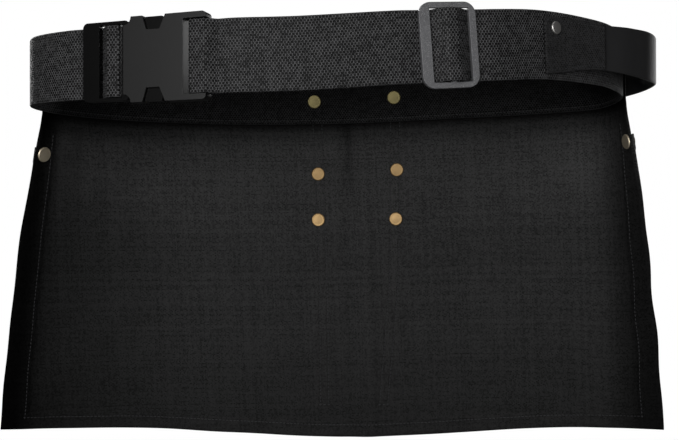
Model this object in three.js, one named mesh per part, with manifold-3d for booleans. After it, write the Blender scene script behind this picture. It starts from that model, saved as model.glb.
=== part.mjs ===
// Carpenter nail apron: a canvas panel with pockets on a web belt, buckled into a loop as it is worn.
// Millimetres. +X is to the right seen from the wearer's back, +Y runs forward from the belt's back
// stretch to the panel, +Z is up. The origin is the middle of the waist, at the belt's mid-height.
import * as THREE from 'three';
import { mergeVertices } from 'three/addons/utils/BufferGeometryUtils.js';
import Module from 'manifold-3d';

// Belt
const WEB_WIDTH = 50.8;
const WEB_WALL = 2.0;
const WAIST_WIDTH = 490;
const WAIST_DEPTH = 228;
const BELT_RISE = 17;
const TAIL_LENGTH = 30;
const RUN_STEP = 27;
const RUN_TURN = 7;

// Clearance between pieces that touch, and the larger one between curved layers of cloth
const FIT_GAP = 0.3;
const CLOTH_GAP = 0.7;

// Canvas panel
const CANVAS_WALL = 1.4;
const PANEL_TOP = 20;
const HEM_WIDTH = 584;
const HEM_DEPTH = 128;
const HEM_DROP = 300;
const HEM_ROLL = 5;
const HEM_ROLL_WIDTH = 20;
const PANEL_FOLD = 5;
const PANEL_COLUMNS = 20;
const MIDDLE_COLUMNS = 9;
const PANEL_ROWS = 9;

// Pockets
const POCKET_WALL = 1.2;
const SEAM_ALLOWANCE = 15;
const POCKET_DEPTH = 38;
const POCKET_FOOT = 0.955;
const POCKET_COLUMNS = 20;
const SMALL_POCKET_DEPTH = 17;

// Buckle
const BAR_THICKNESS = 3.4;
const BUCKLE_HEIGHT = 61;
const BUCKLE_THICKNESS = 9.4;
const BUCKLE_WALL = 1.7;
const TONGUE_LENGTH = 34.5;
const TONGUE_FRONT_BAR = 13.5;
const TONGUE_SLOT = 8.5;
const TONGUE_BACK_BAR = 6;
const TONGUE_EXIT_SLOT = 4.6;
const PRONG_LENGTH = 32;
const PRONG_WIDTH = 6;
const BARB_HEIGHT = 3.4;
const BARB_CLEARANCE = 1.5;
const SOCKET_LENGTH = 47.5;
const SOCKET_SLOT = 5.6;
const SOCKET_BAR = 10;
const SOCKET_END = 2;
const NOTCH_START = 15;
const NOTCH_LENGTH = 19;
const NOTCH_DEPTH = 10;

// Slide adjuster
const ADJUSTER_HEIGHT = 61;
const ADJUSTER_LEFT_BAR = 8.2;
const ADJUSTER_RIGHT_BAR = 5.3;
const ADJUSTER_WINDOW = 30;
const ADJUSTER_CENTRE_BAR = 4.5;
const ADJUSTER_CORNER = 9;

// Hammer loop
const LOOP_WALL = 2.0;
const LOOP_LENGTH = 196;
const LOOP_CLEARANCE = 26;
const LOOP_LAP = 12;

// Rivets
const CAP_DIAMETER = 12.8;
const CAP_HEIGHT = 2.2;
const SHANK_DIAMETER = 4;
const WASHER_DIAMETER = 10;
const WASHER_THICKNESS = 1.2;
const LOOP_CAP_DIAMETER = 10;
const RIVET_SIDES = 12;

const wasm = await Module();
wasm.setup();

// Turns a closed geometry into a solid that can be cut and joined.
function solidOf(geometry) {
  const bare = geometry.clone();
  bare.deleteAttribute('normal');
  bare.deleteAttribute('uv');
  const merged = mergeVertices(bare, 1e-4);
  return new wasm.Manifold(new wasm.Mesh({
    numProp: 3,
    vertProperties: new Float32Array(merged.attributes.position.array),
    triVerts: new Uint32Array(merged.index.array),
  }));
}

function geometryOf(solid) {
  const mesh = solid.getMesh();
  const geometry = new THREE.BufferGeometry();
  geometry.setAttribute('position', new THREE.Float32BufferAttribute(mesh.vertProperties, 3));
  geometry.setIndex(Array.from(mesh.triVerts));
  return geometry;
}

// A closed body from corner points and triangles, turned so that its faces point out.
function closedBody(points, triangles) {
  let volume = 0;
  for (const [a, b, c] of triangles) {
    volume += points[a].dot(new THREE.Vector3().crossVectors(points[b], points[c]));
  }
  const facing = volume < 0 ? triangles.map(([a, b, c]) => [a, c, b]) : triangles;
  const geometry = new THREE.BufferGeometry().setFromPoints(points);
  geometry.setIndex(facing.flat());
  return geometry;
}

// Waist line: the middle of the belt, once round, from the left side along the wearer's back.
// across and depth are shares of half the waist's width and depth, rise is a share of BELT_RISE.
// A row with a straight length carries a stiff piece: heading and climb are its direction in degrees.
const buckleStraight = TONGUE_LENGTH + SOCKET_LENGTH + SOCKET_SLOT + SOCKET_BAR + SOCKET_END + 6;
const adjusterWidth = ADJUSTER_LEFT_BAR + ADJUSTER_WINDOW + ADJUSTER_RIGHT_BAR;
const waistStations = [
  { name: 'left side', across: -1.012, depth: -0.05, rise: 0 },
  { name: 'left hip', across: -0.955, depth: -0.40, rise: -0.07 },
  { name: 'buckle', across: -0.559, depth: -0.816, rise: -0.13, straight: buckleStraight, heading: -18.3, climb: 0 },
  { name: 'back', across: -0.12, depth: -1.0, rise: -0.06 },
  { name: 'adjuster', across: 0.313, depth: -0.83, rise: 0.46, straight: adjusterWidth + 4, heading: 16, climb: 4.5 },
  { name: 'right of adjuster', across: 0.61, depth: -0.55, rise: 0.9 },
  { name: 'loop base', across: 0.775, depth: -0.29, rise: 1 },
  { name: 'right hip', across: 0.905, depth: -0.02, rise: 1 },
  { name: 'right side', across: 0.985, depth: 0.27, rise: 0.8 },
  { name: 'right front', across: 0.95, depth: 0.54, rise: 0.55 },
  { name: 'right quarter', across: 0.82, depth: 0.75, rise: 0.5 },
  { name: 'right of panel', across: 0.65, depth: 0.86, rise: 0.42 },
  { name: 'front right', across: 0.40, depth: 0.94, rise: 0.3 },
  { name: 'front', across: 0.06, depth: 0.99, rise: 0.1 },
  { name: 'front left', across: -0.31, depth: 0.975, rise: 0 },
  { name: 'left of panel', across: -0.61, depth: 0.84, rise: 0 },
  { name: 'left front', across: -0.84, depth: 0.59, rise: 0 },
  { name: 'left quarter', across: -0.975, depth: 0.25, rise: 0 },
];
const STRAIGHT_LEAD = 13;

// The control points of the waist line, with the place of each stiff piece among them.
function waistControls() {
  const points = [];
  const places = {};
  for (const row of waistStations) {
    const middle = new THREE.Vector3(
      row.across * WAIST_WIDTH / 2,
      row.depth * WAIST_DEPTH / 2,
      row.rise * BELT_RISE,
    );
    if (!row.straight) {
      points.push(middle);
      continue;
    }
    const heading = THREE.MathUtils.degToRad(row.heading);
    const climb = Math.tan(THREE.MathUtils.degToRad(row.climb));
    const direction = new THREE.Vector3(Math.cos(heading), Math.sin(heading), climb);
    places[row.name] = points.length + 1.5;
    const half = row.straight / 2;
    for (const reach of [-half - STRAIGHT_LEAD, -half, half, half + STRAIGHT_LEAD]) {
      points.push(middle.clone().addScaledVector(direction, reach));
    }
  }
  return { points, places };
}

const { points: waistPoints, places: waistPlaces } = waistControls();
const waistLine = new THREE.CatmullRomCurve3(waistPoints, true, 'centripetal');
waistLine.arcLengthDivisions = 1400;
const waistLength = waistLine.getLength();

// Distance along the waist line of the control point with this number.
function distanceAt(control) {
  const lengths = waistLine.getLengths();
  const place = control / waistPoints.length * (lengths.length - 1);
  const whole = Math.floor(place);
  return THREE.MathUtils.lerp(lengths[whole], lengths[whole + 1], place - whole);
}

const buckleAt = distanceAt(waistPlaces.buckle);
const adjusterAt = distanceAt(waistPlaces.adjuster);

// Directions at a distance along the belt: along it, out of the loop, and up its width.
function beltFrame(distance) {
  const share = ((distance % waistLength) + waistLength) % waistLength / waistLength;
  const along = waistLine.getTangentAt(share);
  const out = new THREE.Vector3(along.y, -along.x, 0).normalize();
  const up = new THREE.Vector3().crossVectors(out, along).normalize();
  return { middle: waistLine.getPointAt(share), along, out, up };
}

// The point at a distance along the belt, a height out of its middle and a height up its width.
function onBelt(distance, out, up) {
  const frame = beltFrame(distance);
  return frame.middle.addScaledVector(frame.out, out).addScaledVector(frame.up, up);
}

// A stiff piece is drawn flat, x along the belt, -y out of it and z up, and set on the belt here.
function placeOnBelt(mesh, distance) {
  const { middle, along, out, up } = beltFrame(distance);
  mesh.position.copy(middle);
  mesh.quaternion.setFromRotationMatrix(new THREE.Matrix4().makeBasis(along, out.clone().negate(), up));
  return mesh;
}

// A strip swept along stations. Each holds the two faces' places along and out, and the two edges.
function sweptStrip(stations) {
  const points = [];
  const triangles = [];
  for (const { left, right, low, high } of stations) {
    points.push(onBelt(left.x, left.y, low), onBelt(right.x, right.y, low));
    points.push(onBelt(right.x, right.y, high), onBelt(left.x, left.y, high));
  }
  const corners = [0, 1, 2, 3];
  for (let i = 0; i < stations.length - 1; i += 1) {
    for (const corner of corners) {
      const next = (corner + 1) % 4;
      const a = 4 * i + corner;
      const b = 4 * i + next;
      triangles.push([a, b, b + 4], [a, b + 4, a + 4]);
    }
  }
  const last = 4 * (stations.length - 1);
  triangles.push([0, 2, 1], [0, 3, 2]);
  triangles.push([last, last + 1, last + 2], [last, last + 2, last + 3]);
  return closedBody(points, triangles);
}

// The path of a strip pulled round a row of turns, each a circle with a place, a reach and a side:
// side 1 bends to the left of the way the strip runs, -1 to the right, 0 is a plain end.
function tautPath(turns) {
  const headings = [];
  for (let i = 0; i < turns.length - 1; i += 1) {
    const from = turns[i];
    const to = turns[i + 1];
    const gap = Math.hypot(to.at - from.at, to.out - from.out);
    const bend = (from.side * from.reach - to.side * to.reach) / gap;
    headings.push(Math.atan2(to.out - from.out, to.at - from.at) + Math.asin(bend));
  }
  const path = [];
  const add = (x, y, heading) => path.push({ point: new THREE.Vector2(x, y), heading });
  turns.forEach((turn, i) => {
    const arriving = headings[Math.max(i - 1, 0)];
    const leaving = headings[Math.min(i, headings.length - 1)];
    const sweep = Math.atan2(Math.sin(leaving - arriving), Math.cos(leaving - arriving));
    const steps = Math.max(1, Math.ceil(Math.abs(sweep) / (Math.PI / 5)));
    for (let step = 0; step <= steps; step += 1) {
      const heading = arriving + sweep * step / steps;
      const normal = heading - turn.side * Math.PI / 2;
      const reach = turn.side === 0 ? 0 : turn.reach;
      add(turn.at + reach * Math.cos(normal), turn.out + reach * Math.sin(normal), heading);
    }
  });
  return path;
}

// Halves the long runs of a path, more often where the waist bends, so that the strip follows it.
function withRunSteps(path) {
  const full = [path[0]];
  const addRun = (from, to) => {
    const gap = from.point.distanceTo(to.point);
    const turned = beltFrame(from.point.x).along.angleTo(beltFrame(to.point.x).along);
    const bends = THREE.MathUtils.radToDeg(turned) > RUN_TURN;
    if (gap > RUN_STEP || (bends && gap > RUN_STEP / 4)) {
      const middle = { point: from.point.clone().lerp(to.point, 0.5), heading: to.heading };
      addRun(from, middle);
      addRun(middle, to);
    } else if (gap > 0.01) {
      full.push(to);
    }
  };
  for (let i = 1; i < path.length; i += 1) addRun(path[i - 1], path[i]);
  return full;
}

function stripFaces(path, wall) {
  return path.map(({ point, heading }) => {
    const side = new THREE.Vector2(-Math.sin(heading), Math.cos(heading)).multiplyScalar(wall / 2);
    return { left: point.clone().add(side), right: point.clone().sub(side) };
  });
}

// Stiff bars lie just outside the web: their back and front faces, out of the belt's middle.
const barBack = WEB_WALL / 2 + FIT_GAP;
const barFront = barBack + BAR_THICKNESS;
const webReach = WEB_WALL / 2 + FIT_GAP;
const layer = WEB_WALL + FIT_GAP;

// Buckle places along the belt from its middle
const buckleLength = TONGUE_LENGTH + SOCKET_LENGTH + SOCKET_SLOT + SOCKET_BAR + SOCKET_END;
const tongueStart = -buckleLength / 2;
const frontBarEnd = tongueStart + TONGUE_FRONT_BAR;
const backBarStart = frontBarEnd + TONGUE_SLOT;
const backBarEnd = backBarStart + TONGUE_BACK_BAR;
const tonguePlateStart = backBarEnd + TONGUE_EXIT_SLOT;
const socketStart = tongueStart + TONGUE_LENGTH;
const socketBodyEnd = socketStart + SOCKET_LENGTH;
const socketBarStart = socketBodyEnd + SOCKET_SLOT;
const socketBarEnd = socketBarStart + SOCKET_BAR;
const socketEnd = socketBarEnd + SOCKET_END;

// Adjuster places along the belt from its middle
const adjusterStart = -adjusterWidth / 2;
const leftSlotStart = adjusterStart + ADJUSTER_LEFT_BAR;
const windowEnd = leftSlotStart + ADJUSTER_WINDOW;
const centreBarStart = (leftSlotStart + windowEnd - ADJUSTER_CENTRE_BAR) / 2;
const centreBarEnd = centreBarStart + ADJUSTER_CENTRE_BAR;

// The web starts as a sewn tail behind the tongue, goes over the tongue's back bar and under its front
// bar, round the waist to the adjuster, over its middle, round the socket's bar, and back behind itself
// to end round the adjuster's middle bar.
function webTurns() {
  const turn = (at, out, side, reach = webReach) => ({ at, out, side, reach });
  const tongue = (place, out, side) => turn(buckleAt + place, out, side);
  const rampStart = socketBarEnd + 8;
  const round = adjusterAt - waistLength;
  return [
    tongue(tongueStart - TAIL_LENGTH, -layer, 0),
    tongue(frontBarEnd + 1.5, -layer + webReach, 1),
    tongue(backBarEnd, barBack, 1),
    tongue(backBarEnd, barFront, 1),
    tongue(backBarStart, barFront, 1),
    tongue(frontBarEnd, barBack, -1),
    turn(round + windowEnd, barBack, -1),
    turn(round + centreBarEnd, barFront, 1, webReach + layer),
    turn(round + centreBarStart, barFront, 1, webReach + layer),
    turn(round + leftSlotStart, barBack, -1),
    tongue(rampStart - waistLength, barBack, -1),
    tongue(socketBarEnd - waistLength, barFront, 1),
    tongue(socketBarStart - waistLength, barFront, 1),
    tongue(socketBarStart - waistLength, barBack, 1),
    tongue(rampStart - waistLength, -layer + webReach, 1),
    turn(round + leftSlotStart + 2.5, -layer + webReach, 1),
    turn(round + centreBarEnd, barBack, 1),
    turn(round + centreBarEnd, barFront, 1),
    turn(round + centreBarStart, barFront, 1),
    turn(round + centreBarStart - webReach, barBack + 0.5, 0),
  ];
}

const webPath = withRunSteps(tautPath(webTurns()));

function waistWeb() {
  const stations = stripFaces(webPath, WEB_WALL).map((faces) => ({
    ...faces,
    low: -WEB_WIDTH / 2,
    high: WEB_WIDTH / 2,
  }));
  return sweptStrip(stations);
}

// A rectangle with round corners, across x and up.
function roundedRectangle(left, right, low, high, corner) {
  const shape = new THREE.Shape();
  shape.moveTo(left + corner, low);
  shape.lineTo(right - corner, low);
  shape.absarc(right - corner, low + corner, corner, -Math.PI / 2, 0);
  shape.lineTo(right, high - corner);
  shape.absarc(right - corner, high - corner, corner, 0, Math.PI / 2);
  shape.lineTo(left + corner, high);
  shape.absarc(left + corner, high - corner, corner, Math.PI / 2, Math.PI);
  shape.lineTo(left, low + corner);
  shape.absarc(left + corner, low + corner, corner, Math.PI, Math.PI * 1.5);
  return shape;
}

// A plate with this outline between two heights out of the belt.
function plate(shape, back, front) {
  const geometry = new THREE.ExtrudeGeometry(shape, {
    depth: front - back,
    bevelEnabled: false,
    curveSegments: 5,
  });
  geometry.translate(0, 0, back);
  geometry.rotateX(Math.PI / 2);
  return solidOf(geometry);
}

function block(left, right, low, high, back, front) {
  const geometry = new THREE.BoxGeometry(right - left, front - back, high - low);
  geometry.translate((left + right) / 2, -(front + back) / 2, (low + high) / 2);
  return solidOf(geometry);
}

const buckleHalf = BUCKLE_HEIGHT / 2;
const buckleBack = -BUCKLE_WALL;
const buckleFront = buckleBack + BUCKLE_THICKNESS;
const windowHalf = WEB_WIDTH / 2 + 3 * FIT_GAP;
const cavityBack = buckleBack + BUCKLE_WALL;
const cavityFront = buckleFront - BUCKLE_WALL;
const cavityHalf = buckleHalf - BUCKLE_WALL;
const tongueBack = cavityBack + FIT_GAP;
const tongueFront = cavityFront - FIT_GAP;
const tongueHalf = cavityHalf - FIT_GAP;

// The tongue: a frame with two bars that the web is threaded through, and two sprung prongs.
function buckleTongue() {
  const outline = roundedRectangle(tongueStart, socketStart + 4, -tongueHalf, tongueHalf, 4);
  let body = plate(outline, tongueBack, tongueFront);
  body = body.subtract(block(frontBarEnd, backBarStart, -windowHalf, windowHalf, -20, 20));
  body = body.subtract(block(backBarEnd, tonguePlateStart, -windowHalf, windowHalf, -20, 20));
  body = body.subtract(block(tongueStart - 1, frontBarEnd + 1, -windowHalf, windowHalf, -20, barBack));
  body = body.subtract(block(backBarStart - 1, backBarEnd + 1, -windowHalf, windowHalf, -20, barBack));
  body = body.subtract(block(backBarStart - 1, backBarEnd + 1, -windowHalf, windowHalf, barFront, 20));
  const prongEnd = socketStart + PRONG_LENGTH;
  const barbStart = socketStart + NOTCH_START + BARB_CLEARANCE;
  const armHalf = buckleHalf - NOTCH_DEPTH + PRONG_WIDTH;
  for (const side of [-1, 1]) {
    const arm = new THREE.Shape();
    arm.moveTo(socketStart, side * (armHalf - PRONG_WIDTH));
    arm.lineTo(prongEnd, side * (armHalf - PRONG_WIDTH));
    arm.lineTo(prongEnd, side * (armHalf - PRONG_WIDTH / 2));
    arm.lineTo(barbStart + NOTCH_LENGTH * 0.7, side * (armHalf + BARB_HEIGHT));
    arm.lineTo(barbStart, side * (armHalf + BARB_HEIGHT));
    arm.lineTo(barbStart, side * armHalf);
    arm.lineTo(socketStart, side * armHalf);
    body = body.add(plate(arm, tongueBack + FIT_GAP, tongueFront - FIT_GAP));
  }
  return geometryOf(body);
}

// The socket: a flat hollow box with a side notch for each barb, and a bar for the web.
function buckleSocket() {
  const outline = new THREE.Shape();
  const ear = 6;
  outline.moveTo(socketStart, -buckleHalf + ear);
  outline.absarc(socketStart, -buckleHalf, ear, Math.PI / 2, 0, true);
  outline.lineTo(socketEnd - 3, -buckleHalf);
  outline.absarc(socketEnd - 3, -buckleHalf + 3, 3, -Math.PI / 2, 0);
  outline.lineTo(socketEnd, buckleHalf - 3);
  outline.absarc(socketEnd - 3, buckleHalf - 3, 3, 0, Math.PI / 2);
  outline.lineTo(socketStart + ear, buckleHalf);
  outline.absarc(socketStart, buckleHalf, ear, 0, -Math.PI / 2, true);
  let body = plate(outline, buckleBack, buckleFront);
  const cavityEnd = socketBodyEnd - 4;
  body = body.subtract(block(socketStart - 1, cavityEnd, -cavityHalf, cavityHalf, cavityBack, cavityFront));
  body = body.subtract(block(socketBodyEnd, socketBarStart, -windowHalf, windowHalf, -20, 20));
  body = body.subtract(block(socketBodyEnd, socketEnd + 1, -windowHalf, windowHalf, -20, barBack));
  body = body.subtract(block(socketBodyEnd, socketEnd + 1, -windowHalf, windowHalf, barFront, 20));
  body = body.subtract(block(socketBarEnd, socketEnd + 1, -windowHalf, windowHalf, -20, 20));
  const notchStart = socketStart + NOTCH_START;
  const notchEnd = notchStart + NOTCH_LENGTH;
  const floor = buckleHalf - NOTCH_DEPTH;
  for (const side of [-1, 1]) {
    const notch = new THREE.Shape();
    notch.moveTo(notchStart, side * (buckleHalf + 1));
    notch.lineTo(notchStart + 3.5, side * floor);
    notch.lineTo(notchEnd - 5, side * floor);
    notch.lineTo(notchEnd, side * (buckleHalf + 1));
    body = body.subtract(plate(notch, -20, 20));
  }
  return geometryOf(body);
}

// The adjuster: a frame with round corners, two slots and a narrow middle bar.
function slideAdjuster() {
  const high = ADJUSTER_HEIGHT / 2;
  const outline = roundedRectangle(adjusterStart, adjusterStart + adjusterWidth, -high, high, ADJUSTER_CORNER);
  let body = plate(outline, barBack, barFront);
  for (const [left, right] of [[leftSlotStart, centreBarStart], [centreBarEnd, windowEnd]]) {
    body = body.subtract(block(left, right, -windowHalf, windowHalf, barBack - 1, barFront + 1));
  }
  return geometryOf(body);
}

// Hammer loop: along is a share of LOOP_LENGTH, off a share of LOOP_CLEARANCE, low and high are shares
// of half the web's width, and over is 1 where the loop lies on the panel and 0 where on the web.
const loopSections = [
  { along: 0, off: 0, low: -0.87, high: 0.83, over: 0 },
  { along: 0.10, off: 0.02, low: -0.80, high: 0.84, over: 0 },
  { along: 0.20, off: 0.14, low: -0.68, high: 0.82, over: 0 },
  { along: 0.32, off: 0.40, low: -0.64, high: 0.77, over: 0 },
  { along: 0.44, off: 0.72, low: -0.70, high: 0.80, over: 0 },
  { along: 0.56, off: 0.96, low: -0.72, high: 0.86, over: 0 },
  { along: 0.68, off: 1.0, low: -0.60, high: 0.90, over: 0.3 },
  { along: 0.80, off: 0.74, low: -0.62, high: 0.76, over: 1 },
  { along: 0.90, off: 0.25, low: -0.72, high: 0.74, over: 1 },
  { along: 0.955, off: 0.02, low: -0.80, high: 0.74, over: 1 },
  { along: 1, off: 0, low: -0.80, high: 0.74, over: 1 },
];
const LOOP_START = 0.392;
const LOOP_SEAM = 0.305;
const loopAt = LOOP_START * waistLength;

// A value of the loop's table at a share of its length, on a smooth curve through the rows.
function loopValue(column, share) {
  const curve = new THREE.CatmullRomCurve3(
    loopSections.map((row) => new THREE.Vector3(row.along, row[column], 0)),
    false,
    'centripetal',
  );
  let low = 0;
  let high = 1;
  for (let i = 0; i < 30; i += 1) {
    const middle = (low + high) / 2;
    if (curve.getPoint(middle).x < share) low = middle;
    else high = middle;
  }
  return curve.getPoint(low).y;
}

// A stretch of the loop between two shares of its length, sunk below the strap's own line.
function loopStretch(from, to, sunk, steps) {
  const stations = [];
  const onWeb = WEB_WALL / 2 + FIT_GAP + LOOP_WALL / 2;
  const centre = (share) => new THREE.Vector2(
    loopAt + share * LOOP_LENGTH,
    onWeb + Math.max(loopValue('off', share) * LOOP_CLEARANCE - sunk, 0)
      + loopValue('over', share) * (CANVAS_WALL + CLOTH_GAP + FIT_GAP),
  );
  for (let i = 0; i <= steps; i += 1) {
    const share = from + (to - from) * i / steps;
    const point = centre(share);
    const ahead = centre(Math.min(share + 0.01, 1)).sub(centre(Math.max(share - 0.01, 0)));
    const scale = 1 + point.y / (WAIST_DEPTH / 2);
    const side = new THREE.Vector2(-ahead.y / scale, ahead.x).normalize().multiplyScalar(LOOP_WALL / 2);
    side.x /= scale;
    stations.push({
      left: point.clone().add(side),
      right: point.clone().sub(side),
      low: loopValue('low', share) * WEB_WIDTH / 2,
      high: loopValue('high', share) * WEB_WIDTH / 2,
    });
  }
  return stations;
}

// The panel hangs outside the front web. Its left and right edges, seen from the back, are shares of the
// waist's length.
const PANEL_LEFT = 0.984;
const PANEL_RIGHT = 0.503;
const panelOut = WEB_WALL / 2 + CLOTH_GAP + CANVAS_WALL / 2;

// Hem line: share is how far across the panel, across and depth are shares of half the hem's width
// and of the hem's depth, drop is a share of HEM_DROP.
const hemStations = [
  { name: 'left corner', share: 0, across: -1.01, depth: 0.42, drop: 0.918 },
  { name: 'left', share: 0.075, across: -0.885, depth: 0.68, drop: 0.94 },
  { name: 'left quarter', share: 0.20, across: -0.645, depth: 0.87, drop: 0.958 },
  { name: 'left middle', share: 0.34, across: -0.35, depth: 0.965, drop: 0.982 },
  { name: 'left seam', share: 0.465, across: -0.055, depth: 0.995, drop: 0.998 },
  { name: 'middle', share: 0.53, across: 0.095, depth: 1.0, drop: 1.0 },
  { name: 'right middle', share: 0.68, across: 0.415, depth: 0.955, drop: 0.98 },
  { name: 'right quarter', share: 0.81, across: 0.67, depth: 0.80, drop: 0.95 },
  { name: 'right', share: 0.925, across: 0.85, depth: 0.55, drop: 0.925 },
  { name: 'right corner', share: 1, across: 0.942, depth: 0.30, drop: 0.905 },
];
const hemLine = new THREE.CatmullRomCurve3(hemStations.map((row) => new THREE.Vector3(
  row.across * HEM_WIDTH / 2,
  row.depth * HEM_DEPTH,
  -WEB_WIDTH / 2 - row.drop * HEM_DROP,
)), false, 'centripetal');

// The hem's point at a share across the panel, by the shares of the table.
function hemPoint(share) {
  const last = hemStations.length - 1;
  let row = 0;
  while (row < last - 1 && hemStations[row + 1].share < share) row += 1;
  const span = hemStations[row + 1].share - hemStations[row].share;
  const place = (share - hemStations[row].share) / span;
  return hemLine.getPoint((row + THREE.MathUtils.clamp(place, 0, 1)) / last);
}

// Folds of the canvas: at the top and the hem, shares across the panel; width a share of HEM_WIDTH;
// height a share of PANEL_FOLD, out of the loop; top, middle and foot how much of it shows there.
const panelFolds = [
  { name: 'middle valley', atTop: 0.515, atHem: 0.506, width: 0.017, height: 1.0, top: 1, middle: 0.45, foot: 0.2 },
  { name: 'middle ridge', atTop: 0.545, atHem: 0.535, width: 0.016, height: -0.5, top: 0.6, middle: 0.8, foot: 0.3 },
  { name: 'left swell', atTop: 0.24, atHem: 0.22, width: 0.10, height: 0.55, top: 0.2, middle: 1, foot: 0.4 },
  { name: 'right swell', atTop: 0.78, atHem: 0.74, width: 0.09, height: 0.6, top: 0.3, middle: 1, foot: 0.3 },
  { name: 'corner dimple', atTop: 0.085, atHem: 0.09, width: 0.018, height: 0.4, top: 1, middle: 0, foot: 0 },
];

function foldHeight(share, down) {
  let height = 0;
  for (const fold of panelFolds) {
    const middle = THREE.MathUtils.lerp(fold.atTop, fold.atHem, down);
    const bell = Math.exp(-(((share - middle) / fold.width) ** 2));
    const upper = THREE.MathUtils.lerp(fold.top, fold.middle, Math.min(down * 2, 1));
    const shown = down < 0.5 ? upper : THREE.MathUtils.lerp(fold.middle, fold.foot, down * 2 - 1);
    height += fold.height * PANEL_FOLD * bell * shown;
  }
  return height;
}

const panelRun = (PANEL_LEFT - PANEL_RIGHT) * waistLength;
const panelBandShare = (PANEL_TOP + WEB_WIDTH / 2) / (PANEL_TOP + WEB_WIDTH / 2 + HEM_DROP);

// The middle of the panel's wall. share runs across it from the left edge to the right one, down runs
// from its top edge, behind the web, to its hem.
function panelMiddle(share, down) {
  const distance = THREE.MathUtils.lerp(PANEL_LEFT, PANEL_RIGHT, share) * waistLength;
  const bandDown = Math.min(down / panelBandShare, 1);
  const up = THREE.MathUtils.lerp(PANEL_TOP, -WEB_WIDTH / 2, bandDown);
  const point = onBelt(distance, panelOut, up);
  const { out } = beltFrame(distance);
  const hang = Math.max((down - panelBandShare) / (1 - panelBandShare), 0);
  const swing = hang * (1.25 - 0.25 * hang);
  const hem = hemPoint(share);
  point.x = THREE.MathUtils.lerp(point.x, hem.x, swing);
  point.y = THREE.MathUtils.lerp(point.y, hem.y, swing);
  point.z = THREE.MathUtils.lerp(point.z, hem.z, hang);
  point.addScaledVector(out, foldHeight(share, hang) * THREE.MathUtils.smoothstep(hang, 0, 0.06));
  const edge = Math.min(share, 1 - share) * panelRun;
  const roll = Math.max(1 - edge / HEM_ROLL_WIDTH, 0);
  return point.addScaledVector(out, HEM_ROLL * roll * roll * THREE.MathUtils.smoothstep(hang, 0, 0.4));
}

// The direction out of a surface at a place on it, away from the waist. A surface whose shares run from
// right to left has turn -1.
function surfaceOut(surface, share, down, turn = 1) {
  const step = 0.002;
  const across = surface(Math.min(share + step, 1), down).sub(surface(Math.max(share - step, 0), down));
  const below = surface(share, Math.min(down + step, 1)).sub(surface(share, Math.max(down - step, 0)));
  return new THREE.Vector3().crossVectors(across, below).normalize().multiplyScalar(turn);
}

// A closed wall of cloth about a middle surface.
function clothWall(surface, wall, columns, rows) {
  const points = [];
  for (const side of [-0.5, 0.5]) {
    for (let row = 0; row <= rows.length - 1; row += 1) {
      for (let column = 0; column <= columns.length - 1; column += 1) {
        const share = columns[column];
        const down = rows[row];
        const out = surfaceOut(surface, share, down);
        points.push(surface(share, down).addScaledVector(out, side * wall));
      }
    }
  }
  const width = columns.length;
  const layerSize = width * rows.length;
  const triangles = [];
  const quad = (a, b, c, d) => triangles.push([a, b, c], [a, c, d]);
  for (let row = 0; row < rows.length - 1; row += 1) {
    for (let column = 0; column < width - 1; column += 1) {
      const a = row * width + column;
      quad(a, a + width, a + width + 1, a + 1);
      quad(a + layerSize, a + layerSize + 1, a + layerSize + width + 1, a + layerSize + width);
    }
  }
  const foot = (rows.length - 1) * width;
  for (let column = 0; column < width - 1; column += 1) {
    quad(column, column + 1, column + 1 + layerSize, column + layerSize);
    quad(foot + column, foot + column + layerSize, foot + column + 1 + layerSize, foot + column + 1);
  }
  for (let row = 0; row < rows.length - 1; row += 1) {
    const a = row * width;
    const b = a + width - 1;
    quad(a, a + layerSize, a + layerSize + width, a + width);
    quad(b, b + width, b + width + layerSize, b + layerSize);
  }
  return closedBody(points, triangles);
}

function evenSteps(count) {
  return Array.from({ length: count + 1 }, (unused, i) => i / count);
}

// Pockets. Left and right as seen from the wearer's back. seam and edge are shares across the panel at
// its top, seamFoot is the seam's share at the hem; mouthSeam and mouthEdge are shares of its height.
const pocketRows = {
  left: { turn: -1, seam: 0.479, seamFoot: 0.479, edge: 0.002, mouthSeam: 0.258, mouthEdge: 0.226 },
  right: { turn: 1, seam: 0.5929, seamFoot: 0.552, edge: 0.998, mouthSeam: 0.258, mouthEdge: 0.226 },
};
const SMALL_POCKET_SHARE = 0.6;
const SMALL_POCKET_MOUTH = 0.21;
const SMALL_POCKET_FOOT = 0.93;
// How far the mouths stand open, as shares of the bags' depths
const MOUTH_OPENING = 0.6;
const SMALL_MOUTH_OPENING = 0.85;

// How far a bag stands off its back at a place across it and down it: nothing on its seams.
function bagShape(across, down, mouth, flange) {
  const place = THREE.MathUtils.clamp((across - flange) / (1 - 2 * flange), 0, 1);
  const width = 1 - Math.abs(2 * place - 1) ** 2.6;
  const fullAt = 0.62;
  const upper = mouth + (1 - mouth) * Math.sin(Math.min(down / fullAt, 1) * Math.PI / 2);
  const lower = 1 - Math.max((down - fullAt) / (1 - flange - fullAt), 0) ** 2.4;
  return width * upper * Math.max(lower, 0);
}

const seatedOut = CANVAS_WALL / 2 + CLOTH_GAP + POCKET_WALL / 2;

// The seam allowance as a share of a main pocket's width
function pocketFlange(row) {
  return SEAM_ALLOWANCE / (Math.abs(row.edge - row.seam) * panelRun);
}

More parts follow.
